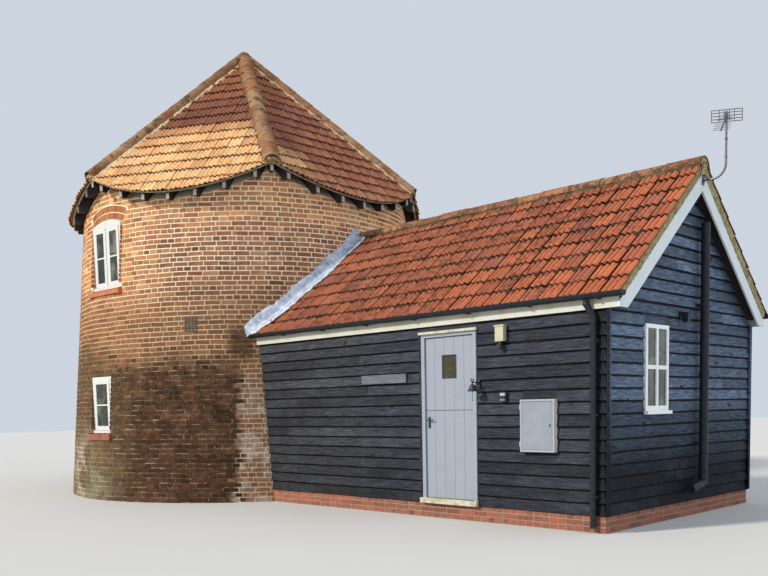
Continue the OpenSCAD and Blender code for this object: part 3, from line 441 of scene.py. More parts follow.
def mat_wing_tile():
    M = Mat("wing_tile")
    M.col = M.shades((0.60, 0.160, 0.060), (0.54, 0.140, 0.058), (0.62, 0.175, 0.068), (0.49, 0.132, 0.066),
                     (0.60, 0.165, 0.061), (0.56, 0.150, 0.062), (0.43, 0.128, 0.077), (0.63, 0.190, 0.072))
    M.spots(42, 4, 0.72, 0.54, 0.66, 0.60, (0.12, 0.045, 0.030))
    M.over(M.x.step(8.2, 3.6, 0.06, 0.34), (0.16, 0.085, 0.052))
    M.spots(20, 5, 0.7, 0.50, 0.75, 0.28, (0.60, 0.27, 0.14))
    M.spots(1.4, 5, 0.65, 0.50, 0.72, 0.45, (0.30, 0.090, 0.055))
    patch = (M.noise(1.2, 5, 0.65) - abs(M.x - 5.2) * 0.035).step(0.34, 0.50)
    moss = (patch * 0.85 + 0.15) * M.noise(12, 6, 0.74).step(0.49, 0.57)
    moss = moss * M.math("ADD", 0.62, M.third, clamp=True)
    M.over(moss * 0.96, (0.032, 0.017, 0.010))
    M.col = M.gain(M.col, M.light)
    M.bump(((60, 5, 0.7), 0.5, 0.004), (moss, 0.6, 0.006))
    return M.done(0.76, 0.32)


def mat_hip():
    M = Mat("hip_tile")
    M.col = M.shades((0.52, 0.21, 0.080), (0.43, 0.16, 0.070), (0.58, 0.27, 0.11), (0.48, 0.19, 0.075))
    M.col = M.gain(M.col, M.light.step(0, 1, 0.46, 0.68))
    lichen = M.noise(3.2, 6, 0.72, (1, 1, 0.6)).step(0.44, 0.58) * M.z.step(7.6, 6.4, 0.45, 1.0)
    M.over(lichen * 0.50, (0.38, 0.29, 0.17))
    dark = M.noise(4.5, 6, 0.75).step(0.50, 0.62) * M.z.step(5.2, 6.3, 0.35, 1.0)
    M.over(dark * 0.85, (0.060, 0.048, 0.032))
    M.bump(((30, 6, 0.7), 0.7, 0.008))
    return M.done(0.90, 0.22)


def mat_ridge():
    M = Mat("ridge_tile")
    M.col = M.shades((0.30, 0.110, 0.055), (0.24, 0.085, 0.048), (0.37, 0.155, 0.075), (0.27, 0.105, 0.060))
    M.col = M.gain(M.col, M.light.step(0, 1, 0.80, 1.15))
    M.spots(7, 6, 0.7, 0.48, 0.66, 0.55, (0.40, 0.28, 0.17))
    M.spots(11, 6, 0.75, 0.47, 0.58, 0.88, (0.060, 0.048, 0.022))
    M.bump(((45, 6, 0.7), 0.6, 0.006))
    return M.done(0.88, 0.25)


def mat_plinth():
    M = Mat("plinth_brick")
    M.col = M.shades((0.26, 0.064, 0.032), (0.34, 0.094, 0.046), (0.17, 0.048, 0.029), (0.30, 0.098, 0.054))
    M.spots(30, 5, 0.7, 0.42, 0.72, 0.45, (0.34, 0.22, 0.16))
    M.bump(((70, 5, 0.7), 0.5, 0.004))
    return M.done(0.88)


def mat_sill(name, a, b, c):
    M = Mat(name)
    M.col = M.mix(M.pick, a, b)
    M.spots(16, 5, 0.65, 0.42, 0.75, 0.7, c)
    M.bump(((80, 5, 0.7), 0.4, 0.003))
    return M.done(0.8)


def mat_bed(name, a, b, c, grown=0.8):
    """Mortar fillets: two shades of mortar and the growth on them."""
    M = Mat(name)
    M.col = M.mix(M.noise(9, 5, 0.65).step(0.38, 0.62), a, b)
    M.spots(17, 6, 0.75, 0.50, 0.62, grown, c)
    M.bump(((40, 6, 0.75), 0.8, 0.010))
    return M.done(0.95, 0.15)


def mat_boards():
    M = Mat("stained_boards")
    grain = M.noise(9.0, 6, 0.64, (0.7, 0.7, 9.0), 0.4)
    fine = M.noise(30.0, 4, 0.6, (0.35, 0.35, 9.0))
    col = M.ramp(grain, (0.28, (0.010, 0.0105, 0.013)), (0.47, (0.027, 0.0285, 0.034)),
                 (0.60, (0.048, 0.051, 0.060)), (0.78, (0.095, 0.102, 0.120)))
    col = M.gain(col, M.light.step(0, 1, 0.70, 1.30))
    # gable boards blued and lightened, more so higher up: painted skylight and sky reflection
    painted_sky_blue = M.gain(M.mix(1.0, col, (3.1, 4.0, 4.9), "MULTIPLY"), M.z.step(0.45, 1.9, 0.10, 1.0))
    M.col = M.mix(M.x.step(4.4, 5.8), col, M.mix(1.0, col, (0.93, 0.97, 1.12), "MULTIPLY"))
    M.over(M.x.step(GABLE_X - 0.035, GABLE_X - 0.028), painted_sky_blue)
    M.col = M.gain(M.col, M.z.step(0.2, 1.5, 0.55, 1.0))
    # pale bluish streaks: worn patches and painted highlights
    tone_and_painted_light = M.noise(1.3, 5, 0.65, (0.6, 0.6, 1.6)).step(0.46, 0.68) * fine.step(0.42, 0.62)
    M.over(tone_and_painted_light * 0.50, (0.100, 0.108, 0.124))
    M.over(M.noise(5.5, 2, 0.4, (1, 1, 2.2)).step(0.70, 0.76) * 0.8, (0.008, 0.008, 0.009))
    # painted shadow of the downpipe on the boards by the front corner
    painted_downpipe_shadow = M.x.step(GABLE_X - 0.24, GABLE_X - 0.08) * M.y.step(FRONT_Y + 0.04, FRONT_Y + 0.02)
    M.over(painted_downpipe_shadow * 0.88, (0.006, 0.007, 0.010))
    # painted shade on the laps, from the third number
    M.over(M.third * 0.94, (0.003, 0.003, 0.004))
    M.bump((grain, 0.45, 0.006), (fine, 0.45, 0.002))
    return M.done(fine.step(0.3, 0.7, 0.58, 0.76), 0.12)


def mat_even(name, a, b, scale, height, rough, shine=0.5):
    """Two shades in soft clouds: height is the bump's noise, strength and distance."""
    M = Mat(name)
    M.col = M.mix(M.noise(scale, 4, 0.5), a, b)
    if height:
        M.bump(height)
    return M.done(rough, shine)


def mat_white(name, base, algae=0.0, z_lo=2.40, z_hi=2.62):
    """Painted joinery, with dirt and, where asked, yellow-green growth that thickens upward."""
    M = Mat(name)
    M.col = M.mix(M.noise(5, 6, 0.7).step(0.45, 0.75) * 0.28, base, tuple(0.72 * c for c in base))
    M.spots(45, 4, 0.7, 0.62, 0.75, 0.25, (0.30, 0.29, 0.26))
    if algae:
        M.over(M.noise(4.0, 6, 0.7).step(0.38, 0.66) * M.z.step(z_lo, z_hi) * algae, (0.36, 0.35, 0.13))
    M.bump(((18, 5, 0.6, (1, 1, 6)), 0.12, 0.003), ((160, 3, 0.6), 0.10, 0.001))
    return M.done(0.45, 0.45)


def mat_door_frame():
    """Painted like the door, dimmed and blued as painted shade, with a cream drip board over it and a
    green-cream sill below.
    """
    M = Mat("door_frame_paint")
    M.col = M.mix(M.noise(5, 6, 0.7).step(0.45, 0.75) * 0.3, (0.29, 0.325, 0.385), (0.22, 0.24, 0.28))
    cream = M.mix(M.noise(9, 6, 0.7).step(0.42, 0.64), (0.56, 0.53, 0.42), (0.36, 0.34, 0.18))
    M.over(M.z.step(HEAD_H - 0.001, HEAD_H + 0.001).most(M.z.step(0.262, 0.258)), cream)
    M.bump(((160, 3, 0.6), 0.10, 0.001))
    return M.done(0.5)


def mat_plain(name, a, b, rough, scale=25.0, metal=0.0, shine=0.5, grain=0.2):
    """A moulded, cast or drawn surface with slight mottling."""
    M = Mat(name)
    M.col = M.mix(M.noise(scale, 5, 0.65).step(0.35, 0.70), a, b)
    M.bump(((scale * 6, 3, 0.6), grain, 0.001))
    return M.done(M.noise(scale * 2.2, 4, 0.6).step(0.3, 0.7, rough - 0.10, rough + 0.10), shine, metal)


def mat_light():
    """A cream case over a black sensor."""
    M = Mat("light_body")
    n = M.noise(14, 5, 0.65).step(0.35, 0.70)
    case = M.mix(n, (0.48, 0.45, 0.30), (0.5376, 0.504, 0.336))
    low = M.mix(n, (0.020, 0.020, 0.022), (0.030, 0.030, 0.033))
    M.col = M.mix(M.z.step(HEAD_H - 0.168, HEAD_H - 0.164), low, case)
    M.bump(((90, 3, 0.6), 0.2, 0.001))
    return M.done(0.42)


def mat_key_box():
    """A dark case with two silver covers in front."""
    M = Mat("key_box_case")
    n = M.noise(20, 5, 0.65).step(0.35, 0.70)
    upper = M.z.step(1.553, 1.557) * M.z.step(1.586, 1.583)
    lower = M.z.step(1.494, 1.497) * M.z.step(1.514, 1.511) * 0.45
    M.col = M.mix(n, (0.022, 0.023, 0.026), (0.040, 0.042, 0.047))
    M.over((upper + lower) * M.y.step(-1.8915, -1.8925), M.mix(n, (0.38, 0.41, 0.45), (0.46, 0.49, 0.54)))
    M.bump(((90, 3, 0.6), 0.2, 0.001))
    return M.done(0.42)


def mat_meter():
    """Enamel, dimmed and blued as painted shade, with a pale rim, a painted shadow line inside it and a
    keyhole; its right side is painted light.
    """
    M = Mat("meter_enamel")
    x0, x1, z0, z1 = METER
    M.col = M.mix(M.noise(8, 5, 0.65).step(0.35, 0.70), (0.235, 0.268, 0.325), (0.275, 0.308, 0.365))
    inset = (M.x - x0).least(x1 - M.x).least((M.z - z0).least(z1 - M.z))
    M.over(inset.step(0.024, 0.021), (0.345, 0.375, 0.405))
    # painted shadow line inside the rim, darker along the top
    line = inset.step(0.020, 0.022) * inset.step(0.031, 0.028) * M.z.step(z1 - 0.05, z1 - 0.04, 0.30, 0.62)
    M.over(line, (0.075, 0.085, 0.10))
    keyhole = abs(M.x - (x1 - 0.054)).step(0.011, 0.008) * abs(M.z - (z0 + 0.310)).step(0.021, 0.016)
    M.over(keyhole, (0.05, 0.05, 0.055))
    # the case's right side lightened: painted light
    M.over(M.x.step(x1 - 0.0016, x1 - 0.0008), (0.80, 0.79, 0.70))
    M.bump(((48, 3, 0.6), 0.2, 0.001))
    return M.done(0.42)


def mat_wood(name, a, b):
    M = Mat(name)
    n = M.noise(6.0, 6, 0.65, (0.6, 8.0, 8.0), 0.5)
    M.col = M.mix(n.step(0.30, 0.70), a, b)
    M.bump((n, 0.35, 0.002))
    return M.done(0.75)


def mat_rafters():
    """Dark old timber with pale cut ends."""
    M = Mat("rafter_wood")
    out = M.math("SQRT", M.x * M.x + M.y * M.y)
    n = M.noise(12, 5, 0.65)
    M.col = M.mix(n, (0.016, 0.012, 0.009), (0.040, 0.030, 0.022))
    end = M.mix(M.noise(60, 4, 0.6), (0.30, 0.27, 0.22), (0.52, 0.49, 0.43))
    M.over(out.step(FILLET_R - 0.020, FILLET_R - 0.004), end)
    M.bump((n, 0.3, 0.003))
    return M.done(0.85)


def mat_glass():
    M = Mat("window_glass")
    M.col = M.ramp(M.noise(2.6, 4, 0.6, dist=1.2), (0.30, (0.012, 0.015, 0.011)),
                   (0.48, (0.040, 0.046, 0.030)), (0.62, (0.13, 0.14, 0.10)), (0.80, (0.26, 0.27, 0.23)))
    M.bump(((3.0, 2, 0.4), 0.05, 0.01))
    M.put(M.bsdf.inputs["Coat Weight"], 0.3)
    return M.done(0.06, 0.8)


def mat_obscured():
    M = Mat("obscured_glass")
    M.col = M.ramp(M.noise(28, 4, 0.6, dist=1.5), (0.30, (0.024, 0.022, 0.011)),
                   (0.55, (0.055, 0.050, 0.027)), (0.75, (0.13, 0.12, 0.070)))
    M.bump(((70, 3, 0.6), 0.5, 0.004))
    return M.done(0.15, 0.6)


def mat_lead():
    """Weathered sheet lead, with a limy white streak where the third tint is high."""
    M = Mat("sheet_lead")
    M.col = M.ramp(M.noise(6, 6, 0.7, dist=0.8), (0.30, (0.17, 0.21, 0.28)), (0.5, (0.36, 0.43, 0.53)),
                   (0.70, (0.64, 0.70, 0.79)))
    M.spots(13, 5, 0.7, 0.54, 0.68, 0.65, (0.80, 0.81, 0.82))
    M.over(M.third * M.noise(8, 5, 0.7).step(0.38, 0.56), (0.82, 0.82, 0.80))
    M.bump(((9, 5, 0.65), 0.6, 0.012), ((60, 4, 0.6), 0.25, 0.003))
    return M.done(0.60, metal=0.10)


# Materials that more than one piece has
BRICK, MORTAR = mat_brick(), mat_mortar()
HEX_TILE, WING_TILE = mat_hex_tile(), mat_wing_tile()
UNDER = mat_wood("roof_boarding", (0.010, 0.008, 0.006), (0.024, 0.018, 0.013))
FILLET = mat_wood("eave_fillet", (0.26, 0.22, 0.16), (0.46, 0.40, 0.31))
OLIVE_BED = mat_bed("verge_mortar", (0.30, 0.26, 0.115), (0.40, 0.34, 0.19), (0.10, 0.095, 0.035))
BOARDS = mat_boards()
INSIDE = mat_even("inside_lining", (0.52, 0.50, 0.45), (0.60, 0.58, 0.53), 3, ((25, 4, 0.6), 0.2, 0.004), 0.9)


# Camera, light and floor
def add_camera():
    """The photograph's camera as solved from its lines: metres, radians and the photograph's pixels."""
    place = (13.668, -10.215, 1.428)
    yaw, pitch, roll = 0.7775, -0.0847, -0.0191
    focal, centre_x, centre_y, width, height = 860.44, 388.69, 481.49, 768, 576
    right = Vector((cos(yaw), sin(yaw), 0))
    ahead = Vector((-sin(yaw) * cos(pitch), cos(yaw) * cos(pitch), sin(pitch)))
    up = right.cross(ahead)
    right_r = right * cos(roll) + up * sin(roll)
    up_r = -right * sin(roll) + up * cos(roll)
    data = bpy.data.cameras.new("photo_camera")
    data.sensor_width = 36.0
    data.sensor_fit = "HORIZONTAL"
    data.lens = focal / width * 36
    data.shift_x = -(centre_x - width / 2) / width
    data.shift_y = (centre_y - height / 2) / width
    data.clip_end = 400
    cam = new_object("photo_camera", data)
    rot = Matrix((right_r, up_r, -ahead)).transposed().to_4x4()
    cam.matrix_world = Matrix.Translation(place) @ rot
    bpy.context.scene.camera = cam


def add_sun():
    data = bpy.data.lights.new("key", "SUN")
    data.energy = 3.5
    data.angle = radians(7)
    data.color = (1.0, 0.94, 0.85)
    az, el = radians(-115), radians(31)
    to_sun = Vector((cos(az) * cos(el), sin(az) * cos(el), sin(el)))
    new_object("key", data).rotation_euler = to_sun.to_track_quat("Z", "Y").to_euler()


def add_world():
    """A soft surround, brighter behind the building than in front of it and bluish on the gable's side."""
    scene = bpy.context.scene
    scene.world = bpy.data.worlds.new("studio")
    scene.world.use_nodes = True
    T = Tree(scene.world.node_tree)
    look = T.node("ShaderNodeTexCoord", {}).outputs["Generated"]
    behind = T.dot(look, (-0.70, 0.71, 0.10)).step(0.15, 0.75, 0.34, 0.74)
    beside = T.dot(look, (0.93, 0.0, 0.37)).step(0.1, 0.9, 0.0, 0.85, "LINEAR")
    background = T.nt.nodes["Background"]
    T.put(background.inputs[0], (0.82, 0.90, 1.0))
    T.put(background.inputs[1], behind + beside)
    scene.view_settings.view_transform = "Standard"
    scene.view_settings.look = "None"


def add_floor():
    low, high, z = -60, 70, -0.002
    me = bpy.data.meshes.new("studio_floor")
    me.from_pydata([(low, low, z), (high, low, z), (high, high, z), (low, high, z)], [], [(0, 1, 2, 3)])
    grey, paler = (0.60, 0.59, 0.57), (0.63, 0.62, 0.60)
    me.materials.append(mat_even("studio_floor", grey, paler, 0.8, None, 0.85, 0.2))
    new_object("studio_floor", me)


add_camera()
add_sun()
add_world()
add_floor()


# Tower brickwork
COURSE = 0.0775
JOINT = 0.0080
BRICK_PITCH = 0.249
BRICK_OUT = 0.0062
BRICKS_END = 5.6
BRICK_SIDES = [(4, 5, 6, 7), (0, 1, 5, 4), (1, 2, 6, 5), (2, 3, 7, 6), (3, 0, 4, 7)]
ARCH_R = (UP_WIN[0] ** 2 / 4 + UP_WIN[3] ** 2) / (2 * UP_WIN[3])
ARCH_Z = UP_WIN[1] + UP_WIN[2] + UP_WIN[3] - ARCH_R
ARCH_HALF = asin(UP_WIN[0] / 2 / ARCH_R) + 0.02
ARCH_RING = 0.116


def brick_top(a):
    """Height at which the brickwork stops, just under the rafters, for a direction."""
    k = np.cos((a + pi / 6) % (pi / 3) - pi / 6)
    return (APEX - RAFTER_DROP - BASE_R * SLOPE * k) / (1 - BATTER * SLOPE * k) - 0.004


def wave(a, z):
    """How far a course strays from level."""
    long_wave, short_wave = np.sin(5 * a + 2.1 * z), np.sin(13 * a - 4.7 * z)
    return 0.0045 * long_wave + 0.003 * short_wave + 0.002 * np.sin(31 * a + 9 * z)


def half_turn(a):
    """An angle brought between minus and plus half a turn."""
    return (a + pi) % tau - pi


def on_tower(a, z, out):
    r = tower_r(z) + out
    return xyz(r * np.cos(a), r * np.sin(a), z)


def window_place(p, out):
    """Points in the windows' own plane, put on the tower's face."""
    return on_tower(WIN_AZ + p[:, 0] / tower_r(p[:, 1]), p[:, 1], out)


def clip_poly(poly, n, d):
    """The part of a convex polygon where n . p >= d."""
    out = []
    for i in range(len(poly)):
        p, q = np.array(poly[i]), np.array(poly[(i + 1) % len(poly)])
        a, b = np.dot(n, p) - d, np.dot(n, q) - d
        if a >= 0:
            out.append(tuple(p))
        if a * b < 0:
            out.append(tuple(p + (q - p) * a / (a - b)))
    return out


def poly_brick(B, poly, tint):
    """A brick whose face is any convex polygon in the windows' plane."""
    least_area, arris, root = 0.0005, 0.0025, -0.008
    n = len(poly)
    if n < 3:
        return
    p = np.array(poly)
    c = p.mean(0)
    area = 0.5 * abs(np.dot(p[:, 0], np.roll(p[:, 1], 1)) - np.dot(p[:, 1], np.roll(p[:, 0], 1)))
    if area < least_area:
        return
    face = c + (p - c) * np.maximum(1 - arris / np.linalg.norm(p - c, axis=1), 0.3)[:, None]
    verts = np.concatenate([window_place(p, root), window_place(face, BRICK_OUT)])
    sides = [(i, (i + 1) % n, n + (i + 1) % n, n + i) for i in range(n)]
    B.add(verts, [tuple(range(n, 2 * n))] + sides, tint)


def cut_round_windows(poly):
    """The pieces of a brick's face that are left beside the windows and their sills."""
    gap = 0.004
    polys = [poly]
    for (w, wz, wh, rise), sill in ((UP_WIN, UP_SILL), (LO_WIN, LO_SILL)):
        z_low, z_high = wz - sill - gap, wz + wh
        sill_u, side_u = w / 2 + 0.051, w / 2 + gap
        kept = []
        for p in polys:
            us, zs = [q[0] for q in p], [q[1] for q in p]
            if min(zs) < wz and max(zs) > z_low and min(us) < sill_u and max(us) > -sill_u:
                if min(zs) < z_low - 0.02:
                    kept.append(clip_poly(p, (0, -1), -z_low))
                kept += [clip_poly(p, (1, 0), sill_u), clip_poly(p, (-1, 0), sill_u)]
            elif max(zs) > wz and min(zs) < z_high and min(us) < side_u and max(us) > -side_u:
                kept += [clip_poly(p, (1, 0), side_u), clip_poly(p, (-1, 0), side_u)]
                if not rise and max(zs) > z_high + gap:
                    over = clip_poly(p, (0, 1), z_high + gap)
                    kept.append(clip_poly(clip_poly(over, (1, 0), -side_u), (-1, 0), -side_u))
            else:
                kept.append(p)
        polys = [p for p in kept if len(p) > 2]
    return polys


def cut_round_arch(p):
    """What is left of a brick's face above or beside the arch over the upper window."""
    q = np.array(p)
    c = q.mean(0)
    ang = atan2(c[0], c[1] - ARCH_Z)
    near = np.hypot(q[:, 0], q[:, 1] - ARCH_Z).min()
    outer = ARCH_R + 2 * ARCH_RING + 0.009
    if c[1] < UP_WIN[1] + UP_WIN[2] * 0.8 or near > outer or abs(ang) > ARCH_HALF + 0.09:
        return p
    across = (copysign(1, ang) * cos(ARCH_HALF), -sin(ARCH_HALF))
    beside = clip_poly(p, across, 0.006 - ARCH_Z * sin(ARCH_HALF))
    if abs(ang) > ARCH_HALF - 0.02 and len(beside) > 2:
        return beside
    nrm = (sin(ang), cos(ang))
    return clip_poly(p, nrm, outer + ARCH_Z * nrm[1])


def arch_bricks(B):
    """Two rings of headers."""
    joint, header = 0.0055, 0.103
    for ring in range(2):
        r0 = ARCH_R + 0.006 + ring * ARCH_RING
        count = 2 * int(ARCH_HALF * (r0 + 0.05) / 0.074 + 0.5)
        for i in range(count):
            a0 = -ARCH_HALF + 2 * ARCH_HALF * i / count + joint / r0
            a1 = -ARCH_HALF + 2 * ARCH_HALF * (i + 1) / count - joint / r0
            corners = ((r0, a0), (r0, a1), (r0 + header, a1), (r0 + header, a0))
            face = [(r * sin(a), ARCH_Z + r * cos(a)) for r, a in corners]
            # a third number of 1 darkens these bricks: their own darker red and painted shade
            poly_brick(B, face, (RNG.uniform(0.0, 0.75), RNG.random(), 1))


def whole_bricks(B, lo, hi, z0, z1):
    """Bricks of one course that no window touches, with their arrises rounded off a little."""
    n = len(lo)
    inset, root = 0.0022, -0.010
    base = np.full(n, z0)
    top_lo, top_hi = np.minimum(z1, brick_top(lo)), np.minimum(z1, brick_top(hi))
    out = BRICK_OUT + jitter(0.0009, n)
    verts = np.zeros((n, 8, 3))
    corners = ((lo, base, 1, 1), (hi, base, -1, 1), (hi, top_hi, -1, -1), (lo, top_lo, 1, -1))
    for i, (a, z, a_side, z_side) in enumerate(corners):
        rough_a, rough_z = jitter(0.0016, n), jitter(0.0014, n)
        verts[:, i] = on_tower(a, z + wave(a, z), root)
        face_a = a + (a_side * inset + rough_a) / tower_r(z0)
        face_z = z + z_side * inset + rough_z
        verts[:, 4 + i] = on_tower(face_a, face_z + wave(a, z), out + jitter(0.0008, n))
    B.many(verts, BRICK_SIDES, xyz(RNG.random(n), RNG.random(n), 0))


def course_ends(k):
    """The directions in which the bricks of a course start and end, before any cutting."""
    odd = k % 2
    stretchers = int(tau * tower_r(k * COURSE) / BRICK_PITCH + 0.5)
    count = 2 * stretchers if odd else stretchers
    edges = (np.arange(count + 1) + 0.5 * odd + RNG.uniform(-0.05, 0.05)) * (tau / count)
    shift = jitter(0.0007, count + 1)
    shift[-1] = shift[0]
    edges = edges + shift
    joint = JOINT / tower_r(k * COURSE + JOINT)
    return edges[:-1] + joint, edges[1:] - joint


def cut_by_rafters(lo, hi, z0):
    """Bricks cut short where the rafters come down to their foot, and which of them are left."""
    least_h, least_l = 0.012, 0.018
    need = z0 + least_h
    top_lo, top_hi = brick_top(lo), brick_top(hi)
    cross = lo + (hi - lo) * np.clip((need - top_lo) / (top_hi - top_lo + 1e-9), 0, 1)
    lo = np.where((top_lo < need) & (top_hi > need), cross, lo)
    hi = np.where((top_hi < need) & (top_lo > need), cross, hi)
    return lo, hi, (np.maximum(top_lo, top_hi) > need) & ((hi - lo) * tower_r(z0) > least_l)


def near_windows(u0, u1, z0, z1):
    """Which bricks of a course are cut one by one, because a window, its sill or its arch is near."""
    beside, below, above = 0.16, 0.15, 0.32
    near = np.zeros(len(u0), bool)
    for w, z, h, rise in (UP_WIN, LO_WIN):
        reach = w / 2 + beside
        near |= (u0 < reach) & (u1 > -reach) & (z1 > z - below) & (z0 < z + h + rise + above)
    return near


def tower_bricks():
    """English bond: courses of stretchers and of headers by turns."""
    B = Build()
    for k in range(int(BRICKS_END / COURSE)):
        z0, z1 = k * COURSE + JOINT, (k + 1) * COURSE - JOINT
        r = tower_r(z0)
        lo, hi = course_ends(k)
        mid = half_turn((lo + hi) / 2)
        x, y = r * np.cos(mid), r * np.sin(mid)
        in_wing = (x > 1) & (y > IN_F + 0.01) & (y < IN_B - 0.01) & (z1 < wing_under(y) - 0.03)
        lo, hi, left = cut_by_rafters(lo, hi, z0)
        du, half = half_turn(mid - WIN_AZ) * r, (hi - lo) * r / 2
        u0, u1 = du - half, du + half
        keep, near = left & ~in_wing, near_windows(u0, u1, z0, z1)
        whole_bricks(B, lo[keep & ~near], hi[keep & ~near], z0, z1)
        for a, b in zip(u0[keep & near], u1[keep & near]):
            tint = (RNG.random(), RNG.random(), 0)
            for p in cut_round_windows([(a, z0), (b, z0), (b, z1), (a, z1)]):
                poly_brick(B, cut_round_arch(p), tint)
    arch_bricks(B)
    B.make("tower_bricks", [BRICK], slot="brick")
    for name in NODES:
        if name.startswith("tower_wall"):
            dress(name, MORTAR)


def sill_block(r_in, r_out, u0, u1, z0, z1, fall):
    """Corners of a block that lies along the windows' direction, its outer top edge lower by fall."""
    c, s = cos(WIN_AZ), sin(WIN_AZ)
    out = []
    for z in (z0, z1):
        for r in (r_in, r_out):
            drop = fall if (r == r_out and z == z1) else 0
            for u in (u1, u0):
                out.append((r * c - u * s, r * s + u * c, z - drop))
    return out


def window_sills():
    """A smooth sloping terracotta slab under the upper window, bricks on edge under the lower one."""
    B = Build()
    depth, nose, wider = 0.19, 0.035, 0.090
    w, z = UP_WIN[:2]
    r, full = tower_r(z), w + wider
    B.hexa(sill_block(r - depth, r + nose, -full / 2, full / 2, z - UP_SILL, z, 0.035), mat=2)
    w, z = LO_WIN[:2]
    r, full = tower_r(z), w + wider
    count = round(full / 0.075)
    for i in range(count):
        u0, u1 = -full / 2 + full * i / count + 0.003, -full / 2 + full * (i + 1) / count - 0.003
        dz = jitter(0.0012)
        B.hexa(sill_block(r - depth, r + nose, u0, u1, z - LO_SILL + dz, z + dz, 0.018), rand3())
    bed = sill_block(r - depth, r + nose - 0.003, -full / 2, full / 2, z - LO_SILL + 0.004, z - 0.024, 0)
    B.hexa(bed, mat=1)
    brick = mat_sill("sill_brick", (0.36, 0.105, 0.055), (0.24, 0.070, 0.045), (0.42, 0.20, 0.12))
    slab = mat_sill("sill_tile", (0.52, 0.155, 0.060), (0.46, 0.130, 0.055), (0.60, 0.25, 0.12))
    B.make("sill_bricks", [brick, MORTAR, slab], slot="sill_brick", replaces=["tower_window_sills"])


def window_reveals():
    """Brick ends in the sides of the two tower openings."""
    B = Build()
    for w, z, h, _ in (UP_WIN, LO_WIN):
        for side in (-1, 1):
            u0, u1 = sorted((side * (w / 2 + 0.010), side * (w / 2 - 0.0025)))
            for k in range(ceil(z / COURSE), int((z + h) / COURSE)):
                z0, z1 = k * COURSE + JOINT, (k + 1) * COURSE - JOINT
                r = tower_r(z1) + 0.002
                B.hexa(sill_block(r - 0.100, r, u0, u1, z0, z1, 0), rand3())
    B.make("window_reveals", [BRICK], slot="brick")


tower_bricks()
window_sills()
window_reveals()


# Tiled slopes
def tile_relief(p, crests, half_width, height):
    """Height over the pan across a tile: round crests with flat pans between them."""
    h = np.zeros_like(p)
    for crest in crests:
        d = np.clip(np.abs(p - crest) / half_width, 0, 1)
        h = np.maximum(h, height * (0.5 + 0.5 * np.cos(pi * d)) ** 0.8)
    return h


def slope_tiles(B, to_world, s_end, gauge, cover, u_lo, u_hi, smin, smax, tint_of, crests, half_width, height,
                thick, lift, base, trough_shade, band, u_cap=1e9, joint=1.0, lap=None, crown=0.9):
    """Courses of single tiles: s runs down the slope and u across it; smin and smax cut each tile."""
    pts, least, lip_back = 23, 0.02, 0.03
    p = np.linspace(0, 1.035, pts)
    # each tile's free edge lies over the next tile
    relief = tile_relief(p, crests, half_width, height) + 0.010 * p + 0.004 * (p > 0.85) - 0.003 * (p < 0.10)
    # painted shade in the troughs and painted highlight on the crests; then painted shade along the strip
    # under the next tile's free edge
    shade_u = trough_shade + (1 - trough_shade) * np.clip((relief[:-1] + relief[1:]) / height * crown, 0, 1)
    shade_u[:3] *= joint
    for k in range(ceil(s_end / gauge)):
        s0, s1 = s_end - (k + 1) * gauge, s_end - k * gauge
        for i in range(-1, int((u_hi - u_lo) / cover) + 2):
            u0 = u_lo + i * cover + jitter(0.0018)
            us = np.minimum(u0 + p * cover, u_cap)
            a = np.maximum(np.maximum(s0, smin(us)), 0.0)
            b = np.minimum(s1, smax(us))
            if (b - a).max() < least or us[-1] - us[0] < least:
                continue
            b = b + jitter(0.005)
            a = np.minimum(a, b)
            near = a + (b - a) * band
            tilt, up = jitter(0.0030), abs(jitter(0.0025))
            h = relief + np.linspace(-tilt, tilt, pts) + up
            ha, hn, hb = (base + lift * np.clip((s - s0) / gauge, 0, 1) + h for s in (a, near, b))
            top = np.stack([to_world(a, us, ha), to_world(near, us, hn), to_world(b, us, hb)])
            lip = [top[2], to_world(b, us, hb - thick), to_world(b - lip_back, us, hb - thick)]
            pick, bright, zone = tint_of(u0 + cover / 2, (s0 + s1) / 2)
            cols = xyz(pick, bright * shade_u, zone)
            # painted shade just below the tile above, and on the tile's own lower edge
            dark, edge = cols * (1, 0.42, 1), cols * (1, 0.40, 1)
            if lap is not None:
                dark[:, 2] = edge[:, 2] = lap
            B.grid(top, np.concatenate([dark, cols]))
            # the lip's underside darker still: painted shade
            B.grid(lip, np.concatenate([edge, edge * (1, 0.5, 1)]), smooth=False)
            ends = np.array([(s[-1], over[-1] - thick) for s, over in ((a, ha), (near, hn), (b, hb))])
            below = to_world(ends[:, 0], us[-1], ends[:, 1])
            # the free edge's face, darkened: painted shade
            B.grid([below, top[:, -1]], (pick, bright * min(0.55, joint), zone), smooth=False)


def slope_sheet(B, to_world, us, path, mat):
    """A folded sheet under the tiles, through the places (s, h) of path."""
    B.grid([to_world(s, us, h) for s, h in path], mat=mat, smooth=False)


def hex_frame(k):
    """Places on slope k of the tower: s down from the apex, u across it, h out of it."""
    c, d = cos(radians(60 * k)), sin(radians(60 * k))

    def to_world(s, u, h):
        out = s * ROOF_C + h * ROOF_S
        return xyz(c * out - d * u, d * out + c * u, APEX - s * ROOF_S + h * ROOF_C)
    return to_world


def hex_zone(k, u, s):
    """How purple the tiles of a slope are; on slope 5 a purple band is painted tree shadow."""
    g = (0.84, 0.55, 0.45, 0.40, 0.30, 0.04)[k]
    if k == 5:
        # slope 5: a purple band of painted tree shadow, and a purplish top
        g += 0.95 * exp(-((s - 2.05) / 0.62) ** 4) + 0.30 * (s < 1.3)
    if k == 0:
        g += 0.35 * exp(-((s - 2.6) / 1.1) ** 2)
        g -= 0.95 * exp(-(((u + 1.30) / 0.42) ** 2 + ((s - 3.75) / 0.50) ** 2))
        g -= 0.25 * (s < 1.6)
    return float(np.clip(g + jitter(0.05), 0, 1))


